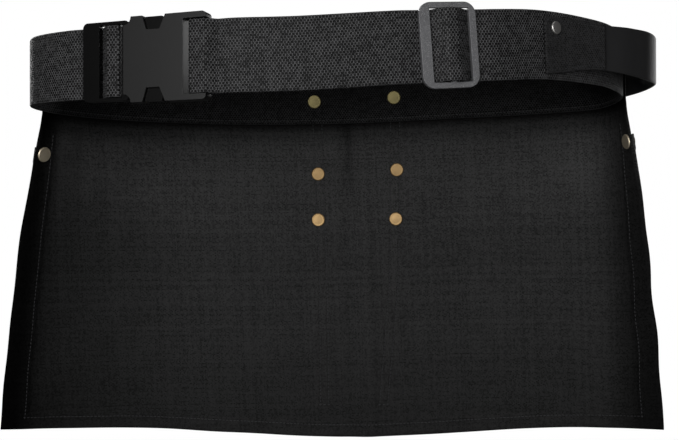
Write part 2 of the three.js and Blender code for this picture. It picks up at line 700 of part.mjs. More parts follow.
function mainPocketSurface(row) {
  const flange = pocketFlange(row);
  const place = (across, down) => {
    const mouth = THREE.MathUtils.lerp(row.mouthSeam, row.mouthEdge, across);
    const height = THREE.MathUtils.lerp(mouth, POCKET_FOOT, down);
    const seam = THREE.MathUtils.lerp(row.seam, row.seamFoot, height);
    return [THREE.MathUtils.lerp(seam, row.edge, across), height];
  };
  return (across, down) => {
    const [share, height] = place(across, down);
    const off = seatedOut + POCKET_DEPTH * bagShape(across, down, MOUTH_OPENING, flange);
    return panelMiddle(share, height).addScaledVector(surfaceOut(panelMiddle, share, height), off);
  };
}

function smallPocketSurface(main, row) {
  const flange = pocketFlange(row) / SMALL_POCKET_SHARE;
  return (across, down) => {
    const place = across * SMALL_POCKET_SHARE;
    const height = THREE.MathUtils.lerp(SMALL_POCKET_MOUTH, SMALL_POCKET_FOOT, down);
    const off = POCKET_WALL + CLOTH_GAP + SMALL_POCKET_DEPTH * bagShape(across, down, SMALL_MOUTH_OPENING, flange);
    return main(place, height).addScaledVector(surfaceOut(main, place, height, row.turn), off);
  };
}

// Steps from one value to another that lie closer together towards both ends.
const END_CROWDING = 0.35;
function crowdedSteps(count, from, to) {
  return evenSteps(count).map((step) => {
    const eased = step - END_CROWDING * Math.sin(2 * Math.PI * step) / (2 * Math.PI);
    return THREE.MathUtils.lerp(from, to, eased);
  });
}

// The panel's columns are closest on the folds between the two rows of rivets.
const MIDDLE_LEFT = 0.478;
const MIDDLE_RIGHT = 0.582;
function backPanel() {
  const columns = new Set([
    ...crowdedSteps(PANEL_COLUMNS, 0, MIDDLE_LEFT),
    ...evenSteps(MIDDLE_COLUMNS).map((step) => THREE.MathUtils.lerp(MIDDLE_LEFT, MIDDLE_RIGHT, step)),
    ...crowdedSteps(PANEL_COLUMNS, MIDDLE_RIGHT, 1),
  ]);
  const rows = [0, ...evenSteps(PANEL_ROWS).map((step) => THREE.MathUtils.lerp(panelBandShare, 1, step))];
  return clothWall(panelMiddle, CANVAS_WALL, [...columns], rows);
}

// The walls of a main pocket and of the small pocket on it, which share rows and columns.
const mainRowsDown = [0, 0.12, 0.26, 0.42, 0.58, 0.7, 0.8, 0.87];
function mainColumns(flange) {
  return [0, ...crowdedSteps(POCKET_COLUMNS, flange, 1 - flange), 1];
}

function mainPocket(row) {
  const flange = pocketFlange(row);
  const rows = [...mainRowsDown, 1 - flange, 1];
  return clothWall(mainPocketSurface(row), POCKET_WALL, mainColumns(flange), rows);
}

function smallPocket(row) {
  const smallHeight = SMALL_POCKET_FOOT - SMALL_POCKET_MOUTH;
  const shared = mainRowsDown.filter((down) => down > SMALL_POCKET_MOUTH + 0.1);
  const flange = pocketFlange(row) / SMALL_POCKET_SHARE;
  const under = mainColumns(pocketFlange(row)).filter((across) => across < SMALL_POCKET_SHARE);
  const columns = [...under.map((across) => across / SMALL_POCKET_SHARE), 1 - flange, 1].sort((a, b) => a - b);
  const rows = [0, ...shared.map((down) => (down - SMALL_POCKET_MOUTH) / smallHeight), 1];
  return clothWall(smallPocketSurface(mainPocketSurface(row), row), POCKET_WALL, columns, rows);
}

// Rivets: a domed cap on the wearer's side, a shank through the cloth and a washer on the far side.
function rivetProfile(capDiameter, stack) {
  const cap = capDiameter / 2;
  const shank = SHANK_DIAMETER / 2;
  const washer = Math.min(WASHER_DIAMETER, capDiameter) / 2;
  const seat = -stack - CLOTH_GAP;
  return [
    new THREE.Vector2(0, seat - WASHER_THICKNESS),
    new THREE.Vector2(washer, seat - WASHER_THICKNESS),
    new THREE.Vector2(washer, seat),
    new THREE.Vector2(shank, seat),
    new THREE.Vector2(shank, CLOTH_GAP),
    new THREE.Vector2(cap, CLOTH_GAP),
    new THREE.Vector2(cap, CLOTH_GAP + CAP_HEIGHT * 0.35),
    new THREE.Vector2(cap * 0.8, CLOTH_GAP + CAP_HEIGHT * 0.8),
    new THREE.Vector2(0, CLOTH_GAP + CAP_HEIGHT),
  ];
}

function rivet(capDiameter, stack) {
  return new THREE.LatheGeometry(rivetProfile(capDiameter, stack), RIVET_SIDES);
}

// Turns a drawing along +Y to a direction and sets it at a point.
function placeAlong(object, point, direction) {
  object.position.copy(point);
  object.quaternion.setFromUnitVectors(new THREE.Vector3(0, 1, 0), direction);
  return object;
}

// The tool that drills a rivet's hole, in the same place as the rivet.
function drilled(geometry, seats) {
  let body = solidOf(geometry);
  for (const seat of seats) {
    const drill = new THREE.CylinderGeometry(
      SHANK_DIAMETER / 2 + FIT_GAP,
      SHANK_DIAMETER / 2 + FIT_GAP,
      40,
      RIVET_SIDES,
    );
    const holder = placeAlong(new THREE.Object3D(), seat.point, seat.direction);
    holder.updateMatrix();
    drill.applyMatrix4(holder.matrix);
    body = body.subtract(solidOf(drill));
  }
  return geometryOf(body);
}

const seamStack = CANVAS_WALL + CLOTH_GAP + POCKET_WALL;
const smallStack = seamStack + CLOTH_GAP + POCKET_WALL;

// Where the rivets sit: share across the panel and down it, and the thickness that they hold.
const bandStack = WEB_WALL + CLOTH_GAP + CANVAS_WALL;
const rivetRows = [
  { name: 'band_rivet_left', share: 0.4625, down: 0.0715, stack: bandStack, lift: WEB_WALL + CLOTH_GAP },
  { name: 'band_rivet_right', share: 0.597, down: 0.0675, stack: bandStack, lift: WEB_WALL + CLOTH_GAP },
  { name: 'upper_rivet_left', share: 0.4658, down: 0.2685, stack: seamStack, lift: 0 },
  { name: 'upper_rivet_right', share: 0.5955, down: 0.2635, stack: seamStack, lift: 0 },
  { name: 'lower_rivet_left', share: 0.4643, down: 0.3955, stack: smallStack, lift: 0 },
  { name: 'lower_rivet_right', share: 0.590, down: 0.398, stack: smallStack, lift: 0 },
  { name: 'edge_rivet_left', share: 0.0135, down: 0.24, stack: seamStack, lift: 0 },
  { name: 'edge_rivet_right', share: 0.9865, down: 0.24, stack: seamStack, lift: 0 },
];
const rivetSeats = rivetRows.map((row) => {
  const out = surfaceOut(panelMiddle, row.share, row.down);
  const face = panelMiddle(row.share, row.down).addScaledVector(out, -CANVAS_WALL / 2 - row.lift);
  return { ...row, point: face, direction: out.negate() };
});
const seatsOf = (part) => rivetSeats.filter((seat) => seat.name.includes(part));

// The oval rivet of the hammer loop goes through the strap and the web.
const LOOP_RIVET_ALONG = 0.052;
const LOOP_RIVET_UP = 0.5;
const loopRivetFrame = beltFrame(loopAt + LOOP_RIVET_ALONG * LOOP_LENGTH);
const loopSeat = {
  point: onBelt(
    loopAt + LOOP_RIVET_ALONG * LOOP_LENGTH,
    WEB_WALL / 2 + FIT_GAP + LOOP_WALL,
    LOOP_RIVET_UP * WEB_WIDTH / 2,
  ),
  direction: loopRivetFrame.out.clone(),
};

const finishes = {
  web: { color: 0x2a2a2b, roughness: 0.9, metalness: 0 },
  canvas: { color: 0x1f1f20, roughness: 0.95, metalness: 0 },
  buckle: { color: 0x17171a, roughness: 0.35, metalness: 0 },
  adjuster: { color: 0x5a5a5c, roughness: 0.6, metalness: 0 },
  strap: { color: 0x1b1b1c, roughness: 0.9, metalness: 0 },
  bend: { color: 0x232326, roughness: 0.55, metalness: 0 },
  brass: { color: 0xa98a5f, roughness: 0.4, metalness: 1 },
  darkMetal: { color: 0x4a4846, roughness: 0.45, metalness: 1 },
};

const apron = new THREE.Group();

function addPiece(name, geometry, finish) {
  const mesh = new THREE.Mesh(geometry, new THREE.MeshStandardMaterial(finishes[finish]));
  mesh.name = name;
  apron.add(mesh);
  return mesh;
}

addPiece('waist_web', drilled(waistWeb(), [...seatsOf('band'), loopSeat]), 'web');
placeOnBelt(addPiece('buckle_tongue', buckleTongue(), 'buckle'), buckleAt);
placeOnBelt(addPiece('buckle_socket', buckleSocket(), 'buckle'), buckleAt);
placeOnBelt(addPiece('slide_adjuster', slideAdjuster(), 'adjuster'), adjusterAt);

addPiece('loop_strap', drilled(sweptStrip(loopStretch(0, LOOP_SEAM, 0, 9)), [loopSeat]), 'strap');
const lapShare = LOOP_LAP / LOOP_LENGTH;
addPiece('loop_bend', sweptStrip(loopStretch(LOOP_SEAM - lapShare, 1, LOOP_WALL + FIT_GAP, 22)), 'bend');
const loopStack = LOOP_WALL + FIT_GAP + WEB_WALL;
placeAlong(
  addPiece('loop_rivet', rivet(LOOP_CAP_DIAMETER, loopStack), 'darkMetal'),
  loopSeat.point,
  loopSeat.direction,
);

addPiece('back_panel', drilled(backPanel(), rivetSeats), 'canvas');
for (const side of ['left', 'right']) {
  const row = pocketRows[side];
  const seats = ['upper', 'lower', 'edge'].flatMap((part) => seatsOf(`${part}_rivet_${side}`));
  addPiece(`main_pocket_${side}`, drilled(mainPocket(row), seats), 'canvas');
  addPiece(`small_pocket_${side}`, drilled(smallPocket(row), seatsOf(`lower_rivet_${side}`)), 'canvas');
}

for (const seat of rivetSeats) {
  placeAlong(addPiece(seat.name, rivet(CAP_DIAMETER, seat.stack), 'brass'), seat.point, seat.direction);
}

export default apron;
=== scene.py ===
"""Look model of a carpenter nail apron, seen from its wearer's back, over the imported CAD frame."""

import math
from types import SimpleNamespace

import bpy
import numpy as np
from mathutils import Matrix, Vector


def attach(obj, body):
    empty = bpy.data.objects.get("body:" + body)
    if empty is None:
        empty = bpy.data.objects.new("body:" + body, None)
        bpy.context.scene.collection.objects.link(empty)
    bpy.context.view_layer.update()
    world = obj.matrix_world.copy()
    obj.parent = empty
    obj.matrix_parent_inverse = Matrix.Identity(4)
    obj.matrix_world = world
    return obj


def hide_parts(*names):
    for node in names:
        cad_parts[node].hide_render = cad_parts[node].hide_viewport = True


bl_info = {
    "name": "Nail apron look",
    "version": (1, 0, 0),
    "blender": (4, 5, 0),
    "location": "View3D > Sidebar > Apron",
    "description": "Builds the cloth, web, hardware and stitches of a carpenter nail apron",
    "category": "Object",
}

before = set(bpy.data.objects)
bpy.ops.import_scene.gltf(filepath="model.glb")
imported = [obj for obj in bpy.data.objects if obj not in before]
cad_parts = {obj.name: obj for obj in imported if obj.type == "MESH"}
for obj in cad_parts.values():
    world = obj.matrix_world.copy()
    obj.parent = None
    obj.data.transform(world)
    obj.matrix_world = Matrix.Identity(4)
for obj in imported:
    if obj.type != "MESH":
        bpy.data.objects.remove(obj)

MM = 0.001
WHITE = (1, 1, 1, 1)
PER_SPAN = 80


def table(columns, *rows):
    """The rows of a table as dictionaries, under the names of its columns."""
    names = columns.split()
    return [dict(zip(names, row)) for row in rows]


# Waist line: the middle of the belt, from the left side along the wearer's back. across and depth are
# shares of half the waist's width and depth, rise a share of the belt's rise. A row with a straight
# length carries a stiff piece, with its heading and climb in degrees.
WAIST_ROWS = table(
    "name across depth rise heading climb",
    ("left side", -1.012, -0.05, 0),
    ("left hip", -0.955, -0.4, -0.07),
    ("buckle", -0.559, -0.816, -0.13, -18.3, 0),
    ("back", -0.12, -1.0, -0.06),
    ("adjuster", 0.313, -0.83, 0.46, 16, 4.5),
    ("right of adjuster", 0.61, -0.55, 0.9),
    ("loop base", 0.775, -0.29, 1),
    ("right hip", 0.905, -0.02, 1),
    ("right side", 0.985, 0.27, 0.8),
    ("right front", 0.95, 0.54, 0.55),
    ("right quarter", 0.82, 0.75, 0.5),
    ("right of panel", 0.65, 0.86, 0.42),
    ("front right", 0.4, 0.94, 0.3),
    ("front", 0.06, 0.99, 0.1),
    ("front left", -0.31, 0.975, 0),
    ("left of panel", -0.61, 0.84, 0),
    ("left front", -0.84, 0.59, 0),
    ("left quarter", -0.975, 0.25, 0),
)

# Hem line: share across the panel, across and depth as shares of half the hem's width and of its
# depth, drop as a share of the hem's drop.
HEM_ROWS = table(
    "share across depth drop",
    (0, -1.01, 0.42, 0.918),
    (0.075, -0.885, 0.68, 0.94),
    (0.2, -0.645, 0.87, 0.958),
    (0.34, -0.35, 0.965, 0.982),
    (0.465, -0.055, 0.995, 0.998),
    (0.53, 0.095, 1.0, 1.0),
    (0.68, 0.415, 0.955, 0.98),
    (0.81, 0.67, 0.8, 0.95),
    (0.925, 0.85, 0.55, 0.925),
    (1, 0.942, 0.3, 0.905),
)

# Folds: places at the top and the hem as shares across the panel, width a share of it, height in
# millimetres out of the loop, and how much of it shows at the top, middle and foot.
FOLD_ROWS = table(
    "top_at hem_at width height top middle foot",
    (0.515, 0.506, 0.017, 5.0, 1, 0.45, 0.2),
    (0.545, 0.535, 0.016, -2.5, 0.6, 0.8, 0.3),
    (0.24, 0.22, 0.1, 2.75, 0.2, 1, 0.4),
    (0.78, 0.74, 0.09, 3.0, 0.3, 1, 0.3),
    (0.085, 0.09, 0.018, 2.0, 1, 0, 0),
)

# Pockets: seam and edge as shares across the panel, seam_foot the seam's share at the hem, and the
# mouth's height at the seam and at the edge as shares of the panel's height. turn is -1 where the pocket
# runs from its seam to the left, and the flat sizes are in metres.
POCKET_ROWS = table(
    "side turn seam seam_foot edge mouth_seam mouth_edge main_flat small_flat",
    ("left", -1, 0.479, 0.479, 0.002, 0.258, 0.226, (0.318, 0.253), (0.206, 0.192)),
    ("right", 1, 0.5929, 0.552, 0.998, 0.258, 0.226, (0.283, 0.255), (0.187, 0.195)),
)

# Hammer loop: along is a share of its length, off a share of its clearance, low and high shares of
# half the web's width, and over is 1 where it lies on the panel.
LOOP_ROWS = table(
    "along off low high over",
    (0, 0, -0.87, 0.83, 0),
    (0.1, 0.02, -0.8, 0.84, 0),
    (0.2, 0.14, -0.68, 0.82, 0),
    (0.32, 0.4, -0.64, 0.77, 0),
    (0.44, 0.72, -0.7, 0.8, 0),
    (0.56, 0.96, -0.72, 0.86, 0),
    (0.68, 1.0, -0.6, 0.9, 0.3),
    (0.8, 0.74, -0.62, 0.76, 1),
    (0.9, 0.25, -0.72, 0.74, 1),
    (0.955, 0.02, -0.8, 0.74, 1),
    (1, 0, -0.8, 0.74, 1),
)

# Rivets: share across the panel and down it. layers names what the rivet holds, and metal its material.
RIVET_ROWS = table(
    "node share down layers metal",
    ("band_rivet_left", 0.4625, 0.0715, "band", "band_brass"),
    ("band_rivet_right", 0.597, 0.0675, "band", "band_brass"),
    ("upper_rivet_left", 0.4658, 0.2685, "seam", "brass"),
    ("upper_rivet_right", 0.5955, 0.2635, "seam", "brass"),
    ("lower_rivet_left", 0.4643, 0.3955, "small", "brass"),
    ("lower_rivet_right", 0.59, 0.398, "small", "brass"),
    ("edge_rivet_left", 0.0135, 0.24, "seam", "edge_brass"),
    ("edge_rivet_right", 0.9865, 0.24, "seam", "edge_brass"),
)

# Stitched seams of the panel: share across it near the top, at its middle and near the hem.
SEAM_ROWS = table(
    "name top middle foot",
    ("left outer", 0.4592, 0.4643, 0.4617),
    ("left inner", 0.4742, 0.4752, 0.4734),
    ("right inner", 0.59, 0.5756, 0.5522),
    ("right outer", 0.605, 0.5894, 0.5653),
)

# Heights down the panel where the seams start, bend and end.
SEAM_TOP = 0.135
SEAM_MIDDLE = 0.568
SEAM_FOOT = 0.911

# Stage, in metres and watts: the floor, the soft boxes and what they point at, and the camera, whose
# place and lens are fitted to the near and the far stretch of the belt in the photo.
FLOOR_REACH = 4
FLOOR_LEVEL = -0.55
WORLD_LIGHT = 0.06
LAMP_ROWS = table(
    "name place size power",
    ("key", (-0.6, -1.6, 0.24), 0.8, 19),
    ("fill", (0.6, -1.5, -0.3), 0.8, 8),
    ("top", (0.1, -0.2, 1.5), 1.2, 2.5),
    ("front left", (-0.9, 1.6, 0.5), 1.1, 26),
    ("front right", (1.1, 1.4, 0.2), 1.0, 9),
)
LAMP_TARGET = (0, 0, -0.1)
CAMERA_PLACE = (0, -0.714, -0.116)
LENS = 46.13
SENSOR = 36

# Waist line, in millimetres: its straight stretch past the buckle and past the adjuster, the lead from
# there into the curve, and the step that its directions are taken over.
BUCKLE_MARGIN = 6
ADJUSTER_MARGIN = 4
STRAIGHT_LEAD = 13
AXIS_STEP = 0.6

# Small ripples of the panel, and the step, as a share, that a surface's directions are taken over.
RIPPLE_COUNT = 7
RIPPLE_HEIGHT = 0.32
RIPPLE_SEED = 7
SURFACE_STEP = 0.002

# Pockets: the height down them where they are fullest, how square their width and foot are, and how far
# their mouths stand open as a share of their depth.
BAG_FULL = 0.62
BAG_WIDTH_POWER = 2.6
BAG_FOOT_POWER = 2.4
MAIN_MOUTH_OPEN = 0.6
SMALL_MOUTH_OPEN = 0.85

# Strips: the longest step of a path, its finest, and the widest step of a turn.
PATH_STEP = 4
PATH_FINEST = 0.02
TURN_STEP = math.pi / 14

# Hammer loop: the step, as a share, that its direction is taken over.
LOOP_STEP = 0.01

# Woven cloth: its gaps' sharpness along a yarn and the range that they fade over, and the noise of the
# yarns' wander, of the worn patches and of the fibres, each as scale, detail and strength.
GAP_POWER = 2.4
GAP_FROM = 0.04
GAP_TO = 0.34
WANDER = (260, 2, 0.3)
WEAR = (30, 4, 0.35)
FIBRES = (900, 2, 0.4)
CLOTH_SPECULAR = 0.18

# Plastic, leather and metal: the noise of the patches, how dark and light they are, and the speckles'
# noise, their threshold and how light they are.
PATCHES = (60, 5)
PATCH_DARK = 0.72
PATCH_LIGHT = 1.25
SPECKLES = (1500, 1)
SPECKLE_FROM = 0.62
SPECKLE_LIGHT = 3.2
SPECKLE_LIFT = 0.03

# Shade of the band's inner face: at its foot and its top, the rise between them, and the length over
# which it ends, in millimetres.
BAND_FOOT_SHADE = 0.36
BAND_TOP_SHADE = 0.05
BAND_SHADE_RISE = 26
FADE_LENGTH = 20

# Hardware: the reach in metres that joins its vertices, the angle in degrees under which its faces are
# one, its rounding's segments and least angle, and the area in mm2 past which a face is shaded flat.
WELD_REACH = 0.00001
FLAT_ANGLE = 1
ROUND_SEGMENTS = 3
ROUND_ANGLE = 35
FLAT_AREA = 30

# Rivets, in millimetres: the rings of the washer as radius and height from its face, and those of the
# cap, whose radius is a share of the cap's less an inset, and whose height is a part of the gap under it
# and a rise.
WASHER_RINGS = ((0, -1.2), (4.2, -1.2), (4.9, -0.9), (4.9, -0.1), (4.6, 0), (2, 0))
SHANK_RADIUS = 2
CAP_RINGS = table(
    "share inset part rise",
    (1, 0.5, 0.1, 0),
    (1, 0.1, 0.4, 0),
    (1, 0, 1, 0.3),
    (1, 0.15, 1, 0.8),
    (1, 0.5, 1, 1.2),
    (1, 1.0, 1, 1.35),
    (1, 1.4, 1, 1.25),
    (0.6, 0, 1, 1.4),
    (0.3, 0, 1, 1.5),
    (0, 0, 1, 1.55),
)
LOOP_RIVET_ALONG = 0.052
LOOP_RIVET_UP = 0.25

# Stitches: how deep a thread sinks into the cloth, as a share of its radius, and its distance from the
# edge of a hem.
THREAD_SINK = 0.35
HEM_INSET = 2.5


def length(label, description, millimetres):
    """A length property, given in millimetres and kept in metres."""
    return bpy.props.FloatProperty(
        name=label, description=description, default=millimetres * MM, subtype="DISTANCE", unit="LENGTH"
    )


def part_of(label, description, share):
    """A share from 0 to 1 of another size."""
    return bpy.props.FloatProperty(
        name=label, description=description, default=share, min=0, max=1, subtype="FACTOR"
    )


def tint(label, description, code):
    """A colour property, given as sRGB hex and kept as linear values."""
    return bpy.props.FloatVectorProperty(
        name=label, description=description, default=linear_colour(code), min=0, max=1, subtype="COLOR"
    )


def linear_colour(code):
    """Linear red, green and blue of an sRGB hex code."""
    parts = [int(code[i:i + 2], 16) / 255 for i in (0, 2, 4)]
    return tuple(c / 12.92 if c <= 0.04045 else ((c + 0.055) / 1.055) ** 2.4 for c in parts)


class ApronSizes(bpy.types.PropertyGroup):
    """Sizes of the apron's cloth, web, rivets and stitches."""

    web_width: length("Web width", "Width of the belt's web", 50.8)
    web_wall: length("Web thickness", "Thickness of the web", 2.0)
    web_edge: length("Web edge", "Loose yarns past each edge of the web", 0.45)
    waist_width: length("Waist width", "Width of the belt's loop", 490)
    waist_depth: length("Waist depth", "Depth of the belt's loop", 228)
    belt_rise: length("Belt rise", "How much higher the belt is at the hammer loop", 17)
    tail_length: length("Tail length", "Free end of the web past the tongue", 30)
    fit_gap: length("Fit gap", "Clearance between the web and what it goes through", 0.3)
    cloth_gap: length("Cloth gap", "Clearance between two layers of cloth", 0.7)
    canvas_wall: length("Canvas thickness", "Thickness of the panel's canvas", 1.4)
    panel_top: length("Panel top", "Reach of the panel above the middle of the belt", 20)
    panel_left: part_of("Panel left", "Place of the panel's left edge along the belt", 0.984)
    panel_right: part_of("Panel right", "Place of the panel's right edge along the belt", 0.503)
    hem_width: length("Hem width", "Width of the hem's curve", 584)
    hem_depth: length("Hem depth", "Depth of the hem's curve", 128)
    hem_drop: length("Hem drop", "Drop of the hem below the belt", 300)
    hem_roll: length("Side roll", "How far the panel's sides curl outward", 5)
    hem_roll_width: length("Side roll width", "Width of the curled sides", 20)
    hem_step: length("Hem step", "Thickness that a turned hem adds", 0.6)
    side_hem: length("Side hem", "Width of the turned hems at the sides", 17)
    foot_hem: length("Foot hem", "Width of the turned lower hem", 14)
    pocket_wall: length("Pocket thickness", "Thickness of the pockets' cloth", 1.2)
    seam_allowance: length("Seam allowance", "Width sewn flat round each pocket", 15)
    pocket_depth: length("Pocket depth", "How far the main pockets stand off the panel", 38)
    pocket_foot: part_of("Pocket foot", "Place of the main pockets' foot down the panel", 0.955)
    small_depth: length("Small pocket depth", "How far the small pockets stand off the main ones", 17)
    small_share: part_of("Small pocket width", "Width of the small pockets on the main ones", 0.6)
    small_mouth: part_of("Small pocket mouth", "Place of the small mouths down the main pockets", 0.21)
    small_foot: part_of("Small pocket foot", "Place of the small pockets' foot", 0.93)
    loop_wall: length("Loop thickness", "Thickness of the hammer loop", 2.0)
    loop_length: length("Loop length", "Length of the hammer loop along the belt", 196)
    loop_clearance: length("Loop clearance", "How far the hammer loop stands off the belt", 26)
    loop_lap: length("Loop lap", "Overlap of the loop's cloth and leather", 12)
    loop_start: part_of("Loop start", "Place of the hammer loop along the belt", 0.392)
    loop_seam: part_of("Loop seam", "Place of the seam along the loop", 0.305)
    cap_diameter: length("Cap diameter", "Diameter of the brass rivets' caps", 12.8)
    loop_cap_diameter: length("Loop cap diameter", "Diameter of the loop rivet's cap", 10)
    stitch_pitch: length("Stitch pitch", "Distance from stitch to stitch", 3.4)
    stitch_length: length("Stitch length", "Length of a stitch", 2.7)
    thread_radius: length("Thread radius", "Half the thickness of the thread", 0.34)


class HardwareSizes(bpy.types.PropertyGroup):
    """Sizes along the belt of the buckle and the adjuster."""

    bar_thickness: length("Bar thickness", "Thickness of the bars that hold the web", 3.4)
    tongue_length: length("Tongue length", "Length of the buckle's tongue outside the socket", 34.5)
    tongue_front_bar: length("Tongue front bar", "Width of the tongue's flat bar", 13.5)
    tongue_slot: length("Tongue slot", "Width of the slot in the tongue", 8.5)
    tongue_back_bar: length("Tongue back bar", "Width of the bar that the web goes round", 6)
    socket_length: length("Socket length", "Length of the socket's body", 47.5)
    socket_slot: length("Socket slot", "Width of the slot in the socket", 5.6)
    socket_bar: length("Socket bar", "Width of the socket's bar", 10)
    socket_end: length("Socket end", "Reach of the socket past its bar", 2)
    adjuster_left_bar: length("Adjuster left bar", "Width of the adjuster's left bar", 8.2)
    adjuster_window: length("Adjuster window", "Width of the adjuster's window", 30)
    adjuster_right_bar: length("Adjuster right bar", "Width of the adjuster's right bar", 5.3)
    adjuster_centre_bar: length("Adjuster centre bar", "Width of the bar in the window", 4.5)
    buckle_round: length("Buckle rounding", "Rounding of the buckle's edges", 0.8)
    adjuster_round: length("Adjuster rounding", "Rounding of the adjuster's edges", 0.9)


class ApronColours(bpy.types.PropertyGroup):
    """Colours of the materials. A woven cloth has one for its gaps and one for its yarns."""

    web_low: tint("Web gaps", "Colour between the web's yarns", "020202")
    web_high: tint("Web yarns", "Colour of the web's yarns", "505051")
    canvas_low: tint("Canvas gaps", "Colour between the canvas's yarns", "131313")
    canvas_high: tint("Canvas yarns", "Colour of the canvas's yarns", "464646")
    loop_low: tint("Loop gaps", "Colour between the loop cloth's yarns", "020202")
    loop_high: tint("Loop yarns", "Colour of the loop cloth's yarns", "303031")
    leather: tint("Leather", "Colour of the loop's leather", "1a1a1b")
    socket: tint("Socket", "Colour of the buckle's socket", "0a0a0a")
    # Painted shade: darker than the socket for the dark surroundings that the tongue reflects
    tongue: tint("Tongue", "Colour of the buckle's tongue", "020202")
    adjuster: tint("Adjuster", "Colour of the slide adjuster", "555557")
    brass: tint("Brass", "Colour of the rivets in the panel", "9a805a")
    # Painted shade: a darker copy of the brass for the rivets on the band
    band_brass: tint("Band brass", "Colour of the rivets in the band", "7c7350")
    # Painted light: a lighter copy of the brass for the rivets at the panel's sides
    edge_brass: tint("Edge brass", "Colour of the rivets at the sides", "eadbc2")
    steel: tint("Steel", "Colour of the loop's rivet", "b8b6b3")
    thread: tint("Thread", "Colour of the stitches", "262628")
    floor: tint("Floor", "Colour of the floor", "6f6f6f")


def in_millimetres(group):
    """The values of a property group by name, with its lengths in millimetres."""
    values = {}
    for prop in group.bl_rna.properties:
        if prop.type == "FLOAT":
            value = getattr(group, prop.identifier)
            values[prop.identifier] = value / MM if prop.unit == "LENGTH" else value
    return SimpleNamespace(**values)


def sizes():
    return in_millimetres(bpy.context.scene.apron_sizes)


def hardware():
    return in_millimetres(bpy.context.scene.apron_hardware)


# Small drawing functions. Lengths are in millimetres until a mesh is made.


def unit(vectors):
    return vectors / np.linalg.norm(vectors, axis=-1, keepdims=True)


def lerp(low, high, share):
    return low + (high - low) * share


def smoothstep(value, low, high):
    """0 below low, 1 above high and a smooth rise between them."""
    x = np.clip((value - low) / (high - low), 0, 1)
    return x * x * (3 - 2 * x)


def spline(points, closed):
    """Points on a centripetal curve through these points, the same number on each span."""
    points = np.asarray(points, float)
    count = len(points)
    if closed:
        full = np.vstack([points[-1:], points, points[:2]])
        spans = count
    else:
        full = np.vstack([2 * points[:1] - points[1:2], points, 2 * points[-1:] - points[-2:-1]])
        spans = count - 1
    share = (np.arange(PER_SPAN) / PER_SPAN)[:, None]
    found = []
    for i in range(spans):
        p0, p1, p2, p3 = full[i:i + 4]
        d0, d1, d2 = (max(np.linalg.norm(b - a) ** 0.5, 1e-4) for a, b in ((p0, p1), (p1, p2), (p2, p3)))
        start = ((p1 - p0) / d0 - (p2 - p0) / (d0 + d1) + (p2 - p1) / d1) * d1
        end = ((p2 - p1) / d1 - (p3 - p1) / (d1 + d2) + (p3 - p2) / d2) * d1
        square = -3 * p1 + 3 * p2 - 2 * start - end
        cube = 2 * p1 - 2 * p2 + start + end
        found.append(p1 + start * share + square * share ** 2 + cube * share ** 3)
    found.append(points[:1] if closed else points[-1:])
    return np.vstack(found)


def on_curve(curve, place):
    """Points of a dense curve at places counted in its points."""
    place = np.asarray(place, float)
    return np.stack([np.interp(place, np.arange(len(curve)), curve[:, k]) for k in range(3)], axis=-1)


class Waist:
    """The waist line, with the places of the stiff pieces on it."""

    def __init__(self):
        s = sizes()
        h = hardware()
        buckle = h.tongue_length + h.socket_length + h.socket_slot + h.socket_bar + h.socket_end
        adjuster = h.adjuster_left_bar + h.adjuster_window + h.adjuster_right_bar
        straights = {"buckle": buckle + BUCKLE_MARGIN, "adjuster": adjuster + ADJUSTER_MARGIN}
        points = []
        places = {}
        for row in WAIST_ROWS:
            middle = np.array([
                row["across"] * s.waist_width / 2,
                row["depth"] * s.waist_depth / 2,
                row["rise"] * s.belt_rise,
            ])
            if row["name"] not in straights:
                points.append(middle)
                continue
            heading = math.radians(row["heading"])
            climb = math.tan(math.radians(row["climb"]))
            direction = np.array([math.cos(heading), math.sin(heading), climb])
            places[row["name"]] = len(points) + 1.5
            half = straights[row["name"]] / 2
            for reach in (-half - STRAIGHT_LEAD, -half, half, half + STRAIGHT_LEAD):
                points.append(middle + direction * reach)
        self.curve = spline(points, True)
        steps = np.linalg.norm(np.diff(self.curve, axis=0), axis=1)
        self.lengths = np.concatenate([[0], np.cumsum(steps)])
        self.length = self.lengths[-1]
        self.buckle_length = buckle
        self.adjuster_length = adjuster
        self.buckle_at = self.distance_at(places["buckle"])
        self.adjuster_at = self.distance_at(places["adjuster"])

    def distance_at(self, control):
        return float(np.interp(control * PER_SPAN, np.arange(len(self.lengths)), self.lengths))

    def middle(self, distance):
        wrapped = np.mod(distance, self.length)
        return on_curve(self.curve, np.interp(wrapped, self.lengths, np.arange(len(self.lengths))))

    def axes(self, distance):
        """Directions along the belt, out of the loop and up its width."""
        along = unit(self.middle(distance + AXIS_STEP) - self.middle(distance - AXIS_STEP))
        out = unit(np.stack([along[..., 1], -along[..., 0], np.zeros(along.shape[:-1])], axis=-1))
        return along, out, unit(np.cross(out, along))

    def point(self, distance, out, up):
        distance, out, up = np.broadcast_arrays(*(np.asarray(v, float) for v in (distance, out, up)))
        _, outward, upward = self.axes(distance)
        return self.middle(distance) + outward * out[..., None] + upward * up[..., None]


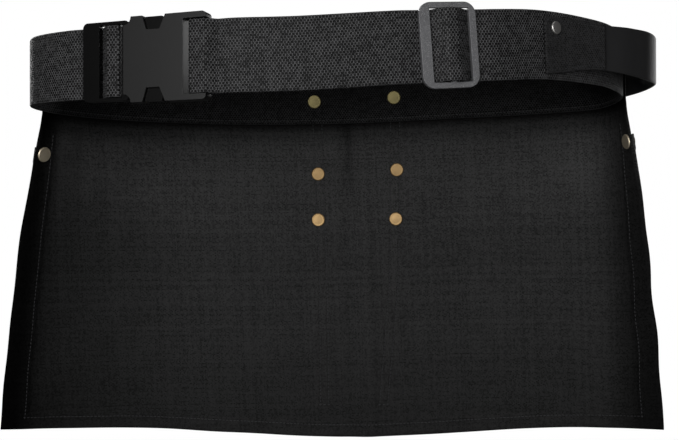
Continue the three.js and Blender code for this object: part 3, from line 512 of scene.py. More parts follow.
class Panel:
    """The middle surface of the canvas panel, which hangs outside the front of the belt."""

    def __init__(self, waist):
        s = sizes()
        self.waist = waist
        self.out = s.web_wall / 2 + s.cloth_gap + s.canvas_wall / 2
        self.run = (s.panel_left - s.panel_right) * waist.length
        band = s.panel_top + s.web_width / 2
        self.height = band + s.hem_drop
        self.band_share = band / self.height
        self.hem = spline([
            (row["across"] * s.hem_width / 2, row["depth"] * s.hem_depth,
             -s.web_width / 2 - row["drop"] * s.hem_drop) for row in HEM_ROWS
        ], False)
        rng = np.random.default_rng(RIPPLE_SEED)
        self.ripples = [
            {"across": rng.uniform(4, 13), "down": rng.uniform(-5, 5), "phase": rng.uniform(0, 6.28),
             "height": RIPPLE_HEIGHT / (1 + 0.2 * i)} for i in range(RIPPLE_COUNT)
        ]

    def folds(self, share, down):
        height = np.zeros(np.broadcast(share, down).shape)
        for row in FOLD_ROWS:
            middle = lerp(row["top_at"], row["hem_at"], down)
            bell = np.exp(-(((share - middle) / row["width"]) ** 2))
            upper = lerp(row["top"], row["middle"], np.minimum(down * 2, 1))
            lower = lerp(row["middle"], row["foot"], down * 2 - 1)
            height = height + row["height"] * bell * np.where(down < 0.5, upper, lower)
        for ripple in self.ripples:
            wave = np.sin(2 * math.pi * (ripple["across"] * share + ripple["down"] * down) + ripple["phase"])
            height = height + ripple["height"] * wave
        return height

    def middle(self, share, down):
        s = sizes()
        share, down = np.broadcast_arrays(np.asarray(share, float), np.asarray(down, float))
        distance = lerp(s.panel_left, s.panel_right, share) * self.waist.length
        up = lerp(s.panel_top, -s.web_width / 2, np.minimum(down / self.band_share, 1))
        point = self.waist.point(distance, self.out, up)
        _, out, _ = self.waist.axes(distance)
        hang = np.maximum((down - self.band_share) / (1 - self.band_share), 0)
        # The cloth swings out to the hem a little sooner than it drops
        swing = hang * (1.25 - 0.25 * hang)
        shares = [row["share"] for row in HEM_ROWS]
        hem = on_curve(self.hem, np.interp(share, shares, np.arange(len(shares))) * PER_SPAN)
        for axis, reach in enumerate((swing, swing, hang)):
            point[..., axis] = lerp(point[..., axis], hem[..., axis], reach)
        point = point + out * (self.folds(share, hang) * smoothstep(hang, 0, 0.06))[..., None]
        edge = np.minimum(share, 1 - share) * self.run
        roll = np.maximum(1 - edge / s.hem_roll_width, 0)
        return point + out * (s.hem_roll * roll * roll * smoothstep(hang, 0, 0.4))[..., None]


def outward(surface, share, down, turn=1):
    """The direction out of a surface, away from the waist."""
    before, after = (np.clip(share + step, 0, 1) for step in (-SURFACE_STEP, SURFACE_STEP))
    above, under = (np.clip(down + step, 0, 1) for step in (-SURFACE_STEP, SURFACE_STEP))
    across = surface(after, down) - surface(before, down)
    below = surface(share, under) - surface(share, above)
    return unit(np.cross(across, below)) * turn


def flange_of(row, panel):
    """The width of a pocket's flat edge as a share of the pocket."""
    return sizes().seam_allowance / (abs(row["edge"] - row["seam"]) * panel.run)


def bag_shape(across, down, mouth, flange):
    """How far a bag stands off its back, as a share of its depth."""
    place = np.clip((across - flange) / (1 - 2 * flange), 0, 1)
    width = 1 - np.abs(2 * place - 1) ** BAG_WIDTH_POWER
    upper = mouth + (1 - mouth) * np.sin(np.minimum(down / BAG_FULL, 1) * math.pi / 2)
    lower = 1 - (np.maximum(down - BAG_FULL, 0) / (1 - flange - BAG_FULL)) ** BAG_FOOT_POWER
    return width * upper * np.maximum(lower, 0)


def main_pocket_surface(panel, row):
    s = sizes()
    flange = flange_of(row, panel)
    seated = s.canvas_wall / 2 + s.cloth_gap + s.pocket_wall / 2

    def surface(across, down):
        height = lerp(lerp(row["mouth_seam"], row["mouth_edge"], across), s.pocket_foot, down)
        share = lerp(lerp(row["seam"], row["seam_foot"], height), row["edge"], across)
        off = seated + s.pocket_depth * bag_shape(across, down, MAIN_MOUTH_OPEN, flange)
        return panel.middle(share, height) + outward(panel.middle, share, height) * off[..., None]

    return surface


def small_pocket_surface(panel, row):
    s = sizes()
    main = main_pocket_surface(panel, row)
    flange = flange_of(row, panel) / s.small_share

    def surface(across, down):
        place = across * s.small_share
        height = lerp(s.small_mouth, s.small_foot, down)
        shape = bag_shape(across, down, SMALL_MOUTH_OPEN, flange)
        off = s.pocket_wall + s.cloth_gap + s.small_depth * shape
        return main(place, height) + outward(main, place, height, row["turn"]) * off[..., None]

    return surface


def placed(name, data):
    """A new object in the scene."""
    made = bpy.data.objects.new(name, data)
    bpy.context.scene.collection.objects.link(made)
    return made


def mesh_object(name, points, faces, uv, material, shade=None):
    """A closed smooth mesh from points in millimetres, turned so that its faces point out."""
    points = np.asarray(points, float)
    volume = 0.0
    for face in faces:
        corners = points[list(face)]
        for k in range(1, len(face) - 1):
            volume += corners[0].dot(np.cross(corners[k], corners[k + 1]))
    if volume < 0:
        faces = [tuple(reversed(face)) for face in faces]
    mesh = bpy.data.meshes.new(name)
    mesh.from_pydata((points * MM).tolist(), [], [tuple(int(v) for v in face) for face in faces])
    mesh.polygons.foreach_set("use_smooth", [True] * len(mesh.polygons))
    if uv is not None:
        layer = mesh.uv_layers.new(name="weave")
        loops = np.empty(len(mesh.loops), int)
        mesh.loops.foreach_get("vertex_index", loops)
        layer.data.foreach_set("uv", (np.asarray(uv, float)[loops] * MM).ravel())
        # Painted shade per point, multiplied into the cloth's colour; 1 where no shade is painted
        painted_shade = mesh.attributes.new("shade", "FLOAT", "POINT")
        full = np.ones(len(points)) if shade is None else np.asarray(shade, float)
        painted_shade.data.foreach_set("value", full.astype(np.float32))
    mesh.update()
    mesh.materials.append(material)
    return placed(name, mesh)


def settle(piece, nodes):
    """Joins a finished piece to the frame, in place of its CAD nodes."""
    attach(piece, "root")
    if nodes:
        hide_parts(*nodes)


def cloth_wall(name, surface, wall, columns, rows, material, turn=1, relief=None, shade=None):
    """A closed wall of cloth about a surface.

    relief gives what is added to its inner and outer face, and shade how dark they are.
    """
    across, down = np.meshgrid(columns, rows)
    middle = surface(across, down)
    out = outward(surface, across, down, turn)
    inner_relief, outer_relief = relief(across, down) if relief else (0, 0)
    inner = middle - out * np.asarray(wall / 2 + inner_relief)[..., None]
    outer = middle + out * np.asarray(wall / 2 + outer_relief)[..., None]
    height, width = across.shape
    layer = height * width
    index = np.arange(layer).reshape(height, width)
    quads = np.stack([index[:-1, :-1], index[1:, :-1], index[1:, 1:], index[:-1, 1:]], axis=-1)
    quads = quads.reshape(-1, 4)
    faces = [tuple(q) for q in quads] + [tuple(q[::-1] + layer) for q in quads]
    border = list(index[0, :]) + list(index[1:, -1]) + list(index[-1, -2::-1]) + list(index[-2:0:-1, 0])
    rim_middle = middle.reshape(-1, 3)[border]
    centre = middle.reshape(-1, 3).mean(axis=0)
    neighbours = np.roll(rim_middle, -1, axis=0) - np.roll(rim_middle, 1, axis=0)
    spread = unit(np.cross(neighbours, out.reshape(-1, 3)[border]))
    if np.sum(spread * (rim_middle - centre)) < 0:
        spread = -spread
    bulge = 0.35 * wall
    rim = rim_middle + spread * bulge
    count = len(border)
    for k in range(count):
        after = (k + 1) % count
        ring = 2 * layer + k
        ring_after = 2 * layer + after
        faces.append((border[k], border[after], ring_after, ring))
        faces.append((ring, ring_after, border[after] + layer, border[k] + layer))
    points = np.vstack([inner.reshape(-1, 3), outer.reshape(-1, 3), rim])
    steps_across = np.linalg.norm(np.diff(middle, axis=1), axis=-1)
    steps_down = np.linalg.norm(np.diff(middle, axis=0), axis=-1)
    u = np.concatenate([np.zeros((height, 1)), np.cumsum(steps_across, axis=1)], axis=1)
    u = u - u[:, width // 2:width // 2 + 1]
    v = np.concatenate([np.zeros((1, width)), np.cumsum(steps_down, axis=0)], axis=0)
    flat = np.stack([u, v], axis=-1).reshape(-1, 2)
    uv = np.vstack([flat, flat, flat[border]])
    inner_shade, outer_shade = (v.ravel() for v in shade(across, down)) if shade else (np.ones(layer),) * 2
    tones = np.concatenate([inner_shade, outer_shade, inner_shade[border]])
    return mesh_object(name, points, faces, uv, material, tones)


def strip(name, waist, stations, wall, material, shade=None):
    """A strip swept along the belt. A station has at, out, heading, low and high."""
    # The ring's corners are rounded over a little less than half the wall
    edge = 0.45 * wall
    inner_edge = edge + 1.2
    corner = 0.3 * edge
    face = [("low", edge), ("low", inner_edge), ("high", -inner_edge), ("high", -edge)]
    ring = [(-1, *spot) for spot in face]
    ring += [(-0.7, "high", -corner), (0, "high", 0), (0.7, "high", -corner)]
    ring += [(1, *spot) for spot in face[::-1]]
    ring += [(0.7, "low", corner), (0, "low", 0), (-0.7, "low", corner)]
    count = len(ring)
    at, out, up, uv, tones = [], [], [], [], []
    run = 0.0
    for k, station in enumerate(stations):
        if k:
            before = stations[k - 1]
            run += math.hypot(station["at"] - before["at"], station["out"] - before["out"])
        for side, key, step in ring:
            reach = side * wall / 2
            at.append(station["at"] - math.sin(station["heading"]) * reach)
            out.append(station["out"] + math.cos(station["heading"]) * reach)
            up.append(station[key] + step)
            uv.append((run, station[key] + step))
            facing = side * math.cos(station["heading"])
            tones.append(shade(station["at"], facing, station[key] + step) if shade else 1.0)
    points = waist.point(at, out, up)
    faces = []
    for k in range(len(stations) - 1):
        for i in range(count):
            j = (i + 1) % count
            faces.append((k * count + i, k * count + j, (k + 1) * count + j, (k + 1) * count + i))
    last = (len(stations) - 1) * count
    faces.append(tuple(range(count))[::-1])
    faces.append(tuple(last + i for i in range(count)))
    return mesh_object(name, points, faces, uv, material, tones)


def taut_path(turns):
    """The path of a strip pulled round a row of circles: at, out, side and reach of each."""
    headings = []
    for before, after in zip(turns[:-1], turns[1:]):
        gap = math.hypot(after["at"] - before["at"], after["out"] - before["out"])
        bend = (before["side"] * before["reach"] - after["side"] * after["reach"]) / gap
        straight = math.atan2(after["out"] - before["out"], after["at"] - before["at"])
        headings.append(straight + math.asin(bend))
    path = []
    for i, turn in enumerate(turns):
        arriving = headings[max(i - 1, 0)]
        leaving = headings[min(i, len(headings) - 1)]
        sweep = math.atan2(math.sin(leaving - arriving), math.cos(leaving - arriving))
        steps = max(1, math.ceil(abs(sweep) / TURN_STEP))
        reach = turn["reach"] if turn["side"] else 0
        for step in range(steps + 1):
            heading = arriving + sweep * step / steps
            normal = heading - turn["side"] * math.pi / 2
            path.append({
                "at": turn["at"] + reach * math.cos(normal),
                "out": turn["out"] + reach * math.sin(normal),
                "heading": heading,
            })
    full = [path[0]]
    for before, after in zip(path[:-1], path[1:]):
        gap = math.hypot(after["at"] - before["at"], after["out"] - before["out"])
        if gap < PATH_FINEST:
            continue
        steps = max(1, math.ceil(gap / PATH_STEP))
        for step in range(1, steps + 1):
            share = step / steps
            full.append({
                "at": lerp(before["at"], after["at"], share),
                "out": lerp(before["out"], after["out"], share),
                "heading": after["heading"],
            })
    return full


def web_turns(waist):
    """The turns of the web, from its tail behind the tongue to its end on the adjuster."""
    s = sizes()
    h = hardware()
    reach = s.web_wall / 2 + s.fit_gap
    layer = s.web_wall + s.fit_gap
    bar_back = reach
    bar_front = bar_back + h.bar_thickness
    tongue_start = waist.buckle_at - waist.buckle_length / 2
    front_bar_end = tongue_start + h.tongue_front_bar
    back_bar_start = front_bar_end + h.tongue_slot
    back_bar_end = back_bar_start + h.tongue_back_bar
    socket_bar_start = tongue_start + h.tongue_length + h.socket_length + h.socket_slot
    socket_bar_end = socket_bar_start + h.socket_bar
    under = reach - layer
    # The web's ramp beside the socket's bar, and small offsets that keep its layers clear of each other
    ramp, tail_bend, ramp_clear, end_rise = 8, 1.5, 2.5, 0.5
    ramp_start = socket_bar_end + ramp
    left_slot = waist.adjuster_at - waist.adjuster_length / 2 + h.adjuster_left_bar
    window_end = left_slot + h.adjuster_window
    centre_start = (left_slot + window_end - h.adjuster_centre_bar) / 2
    centre_end = centre_start + h.adjuster_centre_bar
    # Round the tongue's back bar and through its slot
    turns = [
        (tongue_start - s.tail_length, -layer, 0, reach),
        (front_bar_end + tail_bend, under, 1, reach),
        (back_bar_end, bar_back, 1, reach),
        (back_bar_end, bar_front, 1, reach),
        (back_bar_start, bar_front, 1, reach),
        (front_bar_end, bar_back, -1, reach),
    ]
    # After the way round the waist: over the adjuster, round the socket's bar and back to the adjuster
    after = [
        (window_end, bar_back, -1, reach),
        (centre_end, bar_front, 1, reach + layer),
        (centre_start, bar_front, 1, reach + layer),
        (left_slot, bar_back, -1, reach),
        (ramp_start, bar_back, -1, reach),
        (socket_bar_end, bar_front, 1, reach),
        (socket_bar_start, bar_front, 1, reach),
        (socket_bar_start, bar_back, 1, reach),
        (ramp_start, under, 1, reach),
        (left_slot + ramp_clear, under, 1, reach),
        (centre_end, bar_back, 1, reach),
        (centre_end, bar_front, 1, reach),
        (centre_start, bar_front, 1, reach),
        (centre_start - reach, bar_back + end_rise, 0, reach),
    ]
    turns += [(at - waist.length, *rest) for at, *rest in after]
    return [dict(zip(("at", "out", "side", "reach"), turn)) for turn in turns]


def loop_stations(waist, start, end, sunk, steps):
    """Stations of the hammer loop between two shares of it, sunk below its own line."""
    s = sizes()
    base = s.loop_start * waist.length
    on_web = s.web_wall / 2 + s.fit_gap + s.loop_wall / 2
    curves = {
        key: spline([(row["along"], row[key], 0) for row in LOOP_ROWS], False)
        for key in ("off", "low", "high", "over")
    }

    def value(key, share):
        return float(np.interp(share, curves[key][:, 0], curves[key][:, 1]))

    def centre(share):
        off = max(value("off", share) * s.loop_clearance - sunk, 0)
        over = value("over", share) * (s.canvas_wall + s.cloth_gap + s.fit_gap)
        return np.array([base + share * s.loop_length, on_web + off + over])

    stations = []
    for i in range(steps + 1):
        share = lerp(start, end, i / steps)
        point = centre(share)
        ahead = centre(min(share + LOOP_STEP, 1)) - centre(max(share - LOOP_STEP, 0))
        scale = 1 + point[1] / (s.waist_depth / 2)
        stations.append({
            "at": point[0],
            "out": point[1],
            "heading": math.atan2(ahead[1], ahead[0] * scale),
            "low": value("low", share) * s.web_width / 2,
            "high": value("high", share) * s.web_width / 2,
        })
    return stations


def lathe(name, profile, seat, direction, material):
    """A round body from (radius, height) rows, on an axis from seat along direction."""
    turn = Vector((0, 0, 1)).rotation_difference(Vector(direction)).to_matrix()
    sides = 48
    points = []
    for radius, height in profile:
        angles = [2 * math.pi * k / sides for k in range(sides if radius else 1)]
        ring = [(radius * math.cos(angle), radius * math.sin(angle), height) for angle in angles]
        points.append([tuple(turn @ Vector(p) + Vector(seat)) for p in ring])
    starts = np.cumsum([0] + [len(ring) for ring in points])
    faces = []
    for i in range(len(points) - 1):
        for k in range(sides):
            after = (k + 1) % sides
            low = [starts[i] + (k % len(points[i])), starts[i] + (after % len(points[i]))]
            high = [starts[i + 1] + (after % len(points[i + 1])), starts[i + 1] + (k % len(points[i + 1]))]
            faces.append(tuple(dict.fromkeys(low + high)))
    return mesh_object(name, [p for ring in points for p in ring], faces, None, material)


# Materials


def colour(name):
    """A colour of the apron, with its alpha."""
    return (*getattr(bpy.context.scene.apron_colours, name), 1.0)


def add_node(tree, kind, inputs=None, **settings):
    node = tree.nodes.new(kind)
    for key, value in settings.items():
        setattr(node, key, value)
    for key, value in (inputs or {}).items():
        if isinstance(value, bpy.types.NodeSocket):
            tree.links.new(value, node.inputs[key])
        else:
            node.inputs[key].default_value = value
    return node


def calc(tree, operation, first, second=0.0):
    return add_node(tree, "ShaderNodeMath", {0: first, 1: second}, operation=operation).outputs[0]


def blend_colour(tree, share, low, high):
    return add_node(tree, "ShaderNodeMix", {0: share, 6: low, 7: high}, data_type="RGBA").outputs[2]


def new_material(name):
    material = bpy.data.materials.new(name)
    material.use_nodes = True
    tree = material.node_tree
    tree.nodes.clear()
    shader = add_node(tree, "ShaderNodeBsdfPrincipled")
    tree.links.new(shader.outputs[0], add_node(tree, "ShaderNodeOutputMaterial").inputs[0])
    return material, tree, shader


def object_noise(tree, scale, detail):
    """Noise in the object's own coordinates, from 0 to 1."""
    place = add_node(tree, "ShaderNodeTexCoord").outputs["Object"]
    inputs = {"Vector": place, "Scale": scale, "Detail": detail, "Roughness": 0.6}
    return add_node(tree, "ShaderNodeTexNoise", inputs).outputs[0]


def weighted_noise(tree, noise, offset=0.0):
    """Noise less an offset, times its strength."""
    scale, detail, strength = noise
    value = calc(tree, "SUBTRACT", object_noise(tree, scale, detail), offset)
    return calc(tree, "MULTIPLY", value, strength)


def add_bump(tree, shader, height, distance):
    bump = add_node(tree, "ShaderNodeBump", {"Height": height, "Distance": distance, "Strength": 1.0})
    tree.links.new(bump.outputs[0], shader.inputs["Normal"])


def yarn_noise(tree, place, dimensions):
    """An even value from -0.5 to 0.5 for each yarn or crossing of yarns."""
    key = "W" if dimensions == "1D" else "Vector"
    node = add_node(tree, "ShaderNodeTexWhiteNoise", {key: place}, noise_dimensions=dimensions)
    return calc(tree, "SUBTRACT", node.outputs["Value"], 0.5)


def woven(name, low, high, pitch, relief, roughness, open_weave, slub, streak, contrast):
    """Cloth of yarns in a brick pattern, darker in the gaps between them.

    pitch is (along, up) and relief the height of the yarns, in metres. open_weave is how much the gaps
    show, slub and streak how uneven single crossings and whole yarns are, and contrast a power of the tone.
    """
    material, tree, shader = new_material(name)
    place = add_node(tree, "ShaderNodeUVMap", uv_map="weave").outputs[0]
    inputs = {"Vector": place, "Scale": (1 / pitch[0], 1 / pitch[1], 1)}
    counted = add_node(tree, "ShaderNodeMapping", inputs).outputs[0]
    parts = add_node(tree, "ShaderNodeSeparateXYZ", {0: counted})
    wander = weighted_noise(tree, WANDER)
    up = calc(tree, "ADD", parts.outputs[1], wander)
    row = calc(tree, "FLOOR", up)
    # Every other row is shifted by half a yarn
    shift = calc(tree, "MULTIPLY", calc(tree, "PINGPONG", row, 1.0), 0.5)
    along = calc(tree, "ADD", calc(tree, "ADD", parts.outputs[0], shift), wander)
    column = calc(tree, "FLOOR", along)
    waves = [
        calc(tree, "SINE", calc(tree, "MULTIPLY", calc(tree, "FRACT", place), math.pi))
        for place in (along, up)
    ]
    gap = calc(tree, "MULTIPLY", calc(tree, "POWER", waves[0], GAP_POWER), waves[1])
    faded = {0: gap, 1: GAP_FROM, 2: GAP_TO}
    gap = add_node(tree, "ShaderNodeMapRange", faded, interpolation_type="SMOOTHSTEP").outputs[0]
    yarn = calc(tree, "SUBTRACT", 1.0, calc(tree, "MULTIPLY", gap, open_weave))
    crossing = add_node(tree, "ShaderNodeCombineXYZ", {0: column, 1: row}).outputs[0]
    uneven = calc(tree, "MULTIPLY", yarn_noise(tree, crossing, "2D"), slub)
    lines = calc(tree, "ADD", yarn_noise(tree, column, "1D"), yarn_noise(tree, row, "1D"))
    uneven = calc(tree, "ADD", uneven, calc(tree, "MULTIPLY", lines, streak))
    share = calc(tree, "ADD", calc(tree, "ADD", yarn, uneven), weighted_noise(tree, WEAR, 0.5))
    share = add_node(tree, "ShaderNodeClamp", {0: share}).outputs[0]
    share = calc(tree, "POWER", share, contrast)
    # Painted shade: the mesh's shade attribute darkens the colour towards black and dims the specular
    shade = add_node(tree, "ShaderNodeAttribute", attribute_name="shade").outputs["Fac"]
    tone = blend_colour(tree, share, colour(low), colour(high))
    tone = blend_colour(tree, shade, (0, 0, 0, 1), tone)
    tree.links.new(tone, shader.inputs["Base Color"])
    shader.inputs["Roughness"].default_value = roughness
    tree.links.new(calc(tree, "MULTIPLY", shade, CLOTH_SPECULAR), shader.inputs["Specular IOR Level"])
    add_bump(tree, shader, calc(tree, "ADD", yarn, weighted_noise(tree, FIBRES)), relief)
    return material


def plain(name, tone, roughness, specular, grain, grain_scale, speckle, metal):
    """A plastic, leather or metal with a fine grain and light speckles."""
    material, tree, shader = new_material(name)
    shader.inputs["Roughness"].default_value = roughness
    shader.inputs["Metallic"].default_value = metal
    shader.inputs["Specular IOR Level"].default_value = specular

    def toned(factor, lift=0.0):
        return (*(min(c * factor + lift, 1) for c in colour(tone)[:3]), 1)

    mixed = blend_colour(tree, object_noise(tree, *PATCHES), toned(PATCH_DARK), toned(PATCH_LIGHT))
    if speckle:
        spots = calc(tree, "GREATER_THAN", object_noise(tree, *SPECKLES), SPECKLE_FROM)
        light = toned(SPECKLE_LIGHT, SPECKLE_LIFT)
        mixed = blend_colour(tree, calc(tree, "MULTIPLY", spots, speckle), mixed, light)
    tree.links.new(mixed, shader.inputs["Base Color"])
    if grain:
        add_bump(tree, shader, object_noise(tree, grain_scale, 4), grain)
    return material


WOVEN_ROWS = table(
    "key name low high pitch relief roughness open_weave slub streak contrast",
    # Black polypropylene web: coarse bars about 2.4 by 1.8 mm
    ("web", "polypropylene web", "web_low", "web_high", (0.00245, 0.0018), 0.0008, 0.6, 1.0, 0.8, 0.1, 2),
    # Black cotton duck: plain weave of about 1.3 mm
    ("canvas", "cotton duck", "canvas_low", "canvas_high", (0.00125, 0.00125), 0.0003, 0.95, 0.7, 0.6,
     0.2, 1),
    # Black canvas of the hammer loop's near part
    ("loop_cloth", "cotton canvas", "loop_low", "loop_high", (0.0017, 0.0015), 0.0004, 0.85, 0.8, 0.5,
     0.1, 1),
)
PLAIN_ROWS = table(
    "key name tone roughness specular grain grain_scale speckle metal",
    # Black leather with a fine grain
    ("leather", "black leather", "leather", 0.5, 0.4, 0.00012, 700, 0, 0),
    # Black acetal of the buckle
    ("buckle", "black acetal", "socket", 0.45, 0.35, 0.00003, 700, 0, 0),
    # Black acetal of the buckle's tongue, darker than the socket's as painted shade for the dark
    # surroundings it reflects
    ("tongue", "deep black acetal", "tongue", 0.22, 0.45, 0.00002, 700, 0, 0),
    # Grey grained plastic of the adjuster
    ("adjuster", "grained nylon", "adjuster", 0.42, 0.6, 0.0003, 1300, 0.35, 0),
    # Black bonded sewing thread
    ("thread", "sewing thread", "thread", 0.6, 0.4, 0, 1, 0, 0),
    # Aged satin brass of the rivet caps
    ("brass", "aged brass", "brass", 0.5, 0.5, 0.00003, 900, 0, 1),
    # Brass darkened with painted shade, for the rivets on the band in the belt's shadow
    ("band_brass", "tarnished brass", "band_brass", 0.55, 0.5, 0.00004, 900, 0, 1),
    # Lighter, paler copy of the brass, with painted light, for the rivets at the panel's sides
    ("edge_brass", "worn brass", "edge_brass", 0.5, 0.5, 0.00003, 900, 0, 1),
    # Aged dark steel of the loop's rivet
    ("steel", "aged steel", "steel", 0.4, 0.5, 0.00003, 900, 0, 1),
)


def material_of(key):
    """A material by its row's key, made once under its real material's name."""
    for build, rows in ((woven, WOVEN_ROWS), (plain, PLAIN_ROWS)):
        for row in rows:
            if row["key"] == key:
                values = {name: value for name, value in row.items() if name != "key"}
                return bpy.data.materials.get(row["name"]) or build(**values)
    raise KeyError(key)


# Stitches


def stitch_group(material):
    """Geometry nodes that lay stitches along the edges of a mesh."""
    tree = bpy.data.node_groups.new("Stitches", "GeometryNodeTree")
    interface = tree.interface
    interface.new_socket("Geometry", in_out="INPUT", socket_type="NodeSocketGeometry")
    for label in ("Pitch", "Stitch Length", "Thread Radius"):
        interface.new_socket(label, in_out="INPUT", socket_type="NodeSocketFloat")
    interface.new_socket("Geometry", in_out="OUTPUT", socket_type="NodeSocketGeometry")
    given = add_node(tree, "NodeGroupInput")
    curve = add_node(tree, "GeometryNodeMeshToCurve", {0: given.outputs["Geometry"]})
    even = add_node(tree, "GeometryNodeResampleCurve", {
        "Curve": curve.outputs[0],
        "Length": given.outputs["Pitch"],
    }, mode="LENGTH")
    tangent = add_node(tree, "GeometryNodeInputTangent")
    turn = add_node(tree, "FunctionNodeAlignRotationToVector", {"Vector": tangent.outputs[0]}, axis="X")
    ball = add_node(tree, "GeometryNodeMeshUVSphere", {"Segments": 7, "Rings": 5, "Radius": 1.0})
    smooth = add_node(tree, "GeometryNodeSetShadeSmooth", {"Geometry": ball.outputs[0]})
    half = calc(tree, "MULTIPLY", given.outputs["Stitch Length"], 0.5)
    thick = given.outputs["Thread Radius"]
    scale = add_node(tree, "ShaderNodeCombineXYZ", {0: half, 1: thick, 2: thick})
    laid = add_node(tree, "GeometryNodeInstanceOnPoints", {
        "Points": even.outputs[0],
        "Instance": smooth.outputs[0],
        "Rotation": turn.outputs[0],
        "Scale": scale.outputs[0],
    })
    real = add_node(tree, "GeometryNodeRealizeInstances", {0: laid.outputs[0]})
    painted = add_node(tree, "GeometryNodeSetMaterial", {"Geometry": real.outputs[0], "Material": material})
    tree.links.new(painted.outputs[0], add_node(tree, "NodeGroupOutput").inputs[0])
    return tree


def stitch_object(name, lines, material):
    """Stitches along lines of points in millimetres, as one plain mesh."""
    s = sizes()
    points, edges = [], []
    for line in lines:
        start = len(points)
        points += [tuple(p * MM) for p in np.asarray(line)]
        edges += [(start + k, start + k + 1) for k in range(len(line) - 1)]
    mesh = bpy.data.meshes.new(name)
    mesh.from_pydata(points, edges, [])
    carrier = placed(name + "_lines", mesh)
    tree = stitch_group(material)
    modifier = carrier.modifiers.new("Stitches", "NODES")
    modifier.node_group = tree
    values = {"Pitch": s.stitch_pitch, "Stitch Length": s.stitch_length, "Thread Radius": s.thread_radius}
    for item in tree.interface.items_tree:
        if item.item_type == "SOCKET" and item.in_out == "INPUT" and item.name in values:
            modifier[item.identifier] = values[item.name] * MM
    bpy.context.view_layer.update()
    ready = carrier.evaluated_get(bpy.context.evaluated_depsgraph_get())
    plain_mesh = bpy.data.meshes.new_from_object(ready)
    bpy.data.objects.remove(carrier)
    bpy.data.meshes.remove(mesh)
    bpy.data.node_groups.remove(tree)
    plain_mesh.name = name
    settle(placed(name, plain_mesh), [])


def seam_share(row, down):
    """The place of a seam across the panel at a height down it."""
    return np.interp(down, [SEAM_TOP, SEAM_MIDDLE, SEAM_FOOT], [row["top"], row["middle"], row["foot"]])


def line_on(surface, across, down, lift, turn=1):
    """Points on a surface, lifted out of it. A negative lift is towards the wearer."""
    across, down = np.broadcast_arrays(np.asarray(across, float), np.asarray(down, float))
    return surface(across, down) + outward(surface, across, down, turn) * lift


# Operators


class APRON_OT_stage(bpy.types.Operator):
    """Sets the floor, lights, world and camera"""

    bl_idname = "apron.stage"
    bl_label = "Stage"

    def execute(self, context):
        scene = context.scene
        scene.view_settings.view_transform = "Standard"
        world = bpy.data.worlds.new("studio")
        scene.world = world
        tree = self.empty_tree(world)
        seen = add_node(tree, "ShaderNodeBackground", {0: WHITE, 1: 1.0})
        lit = add_node(tree, "ShaderNodeBackground", {0: WHITE, 1: WORLD_LIGHT})
        self.seen_and_lit(tree, seen, lit, "ShaderNodeOutputWorld")
        # Pale seamless floor, white to the camera like the world round it
        floor_material = bpy.data.materials.new("floor")
        tree = self.empty_tree(floor_material)
        seen = add_node(tree, "ShaderNodeEmission", {"Color": WHITE, "Strength": 1.0})
        lit = add_node(tree, "ShaderNodeBsdfDiffuse", {"Color": colour("floor")})
        self.seen_and_lit(tree, seen, lit, "ShaderNodeOutputMaterial")
        mesh = bpy.data.meshes.new("floor")
        corners = [
            (x * FLOOR_REACH, y * FLOOR_REACH, FLOOR_LEVEL) for x, y in ((-1, -1), (1, -1), (1, 1), (-1, 1))
        ]
        mesh.from_pydata(corners, [], [(0, 1, 2, 3)])
        mesh.materials.append(floor_material)
        stage = [placed("floor", mesh)]
        for box in LAMP_ROWS:
            light = bpy.data.lights.new(box["name"], "AREA")
            light.size = box["size"]
            light.energy = box["power"]
            lamp = placed(box["name"], light)
            lamp.location = box["place"]
            lamp.rotation_euler = (Vector(LAMP_TARGET) - lamp.location).to_track_quat("-Z", "Y").to_euler()
            lamp.visible_camera = False
            stage.append(lamp)
        camera = placed("camera", bpy.data.cameras.new("camera"))
        camera.data.sensor_width = SENSOR
        camera.data.lens = LENS
        camera.location = CAMERA_PLACE
        camera.rotation_euler = (math.pi / 2, 0, 0)
        scene.camera = camera
        return {"FINISHED"}

    def empty_tree(self, holder):
        """The node tree of a world or material, emptied."""
        holder.use_nodes = True
        holder.node_tree.nodes.clear()
        return holder.node_tree

    def seen_and_lit(self, tree, seen, lit, output):
        """Shows one shader to the camera and another to the light."""
        ray = add_node(tree, "ShaderNodeLightPath").outputs["Is Camera Ray"]
        both = add_node(tree, "ShaderNodeMixShader", {0: ray, 1: lit.outputs[0], 2: seen.outputs[0]})
        tree.links.new(both.outputs[0], add_node(tree, output).inputs[0])


class APRON_OT_web(bpy.types.Operator):
    """Builds the belt's web"""

    bl_idname = "apron.web"
    bl_label = "Web"

    def execute(self, context):
        s = sizes()
        waist = Waist()
        half = s.web_width / 2 + s.web_edge
        path = taut_path(web_turns(waist))
        stations = [{**row, "low": -half, "high": half} for row in path]
        front_from, front_to = (share * waist.length for share in (s.panel_right, s.panel_left))

        def shade(at, facing, up):
            """The band's inner face is darker towards its top, in the shade of the belt at the back."""
            place = at % waist.length
            ends = ((place - front_from) / FADE_LENGTH, (front_to - place) / FADE_LENGTH)
            inside = np.prod(np.clip(ends, 0, 1))
            dark = lerp(BAND_FOOT_SHADE, BAND_TOP_SHADE, np.clip((up + half) / BAND_SHADE_RISE, 0, 1))
            return lerp(1.0, dark, inside if facing < 0 else 0)

        web = strip("web_cloth", waist, stations, s.web_wall, material_of("web"), shade)
        settle(web, ["waist_web"])
        run = sum(math.hypot(b["at"] - a["at"], b["out"] - a["out"]) for a, b in zip(path[:-1], path[1:]))
        return {"FINISHED"}


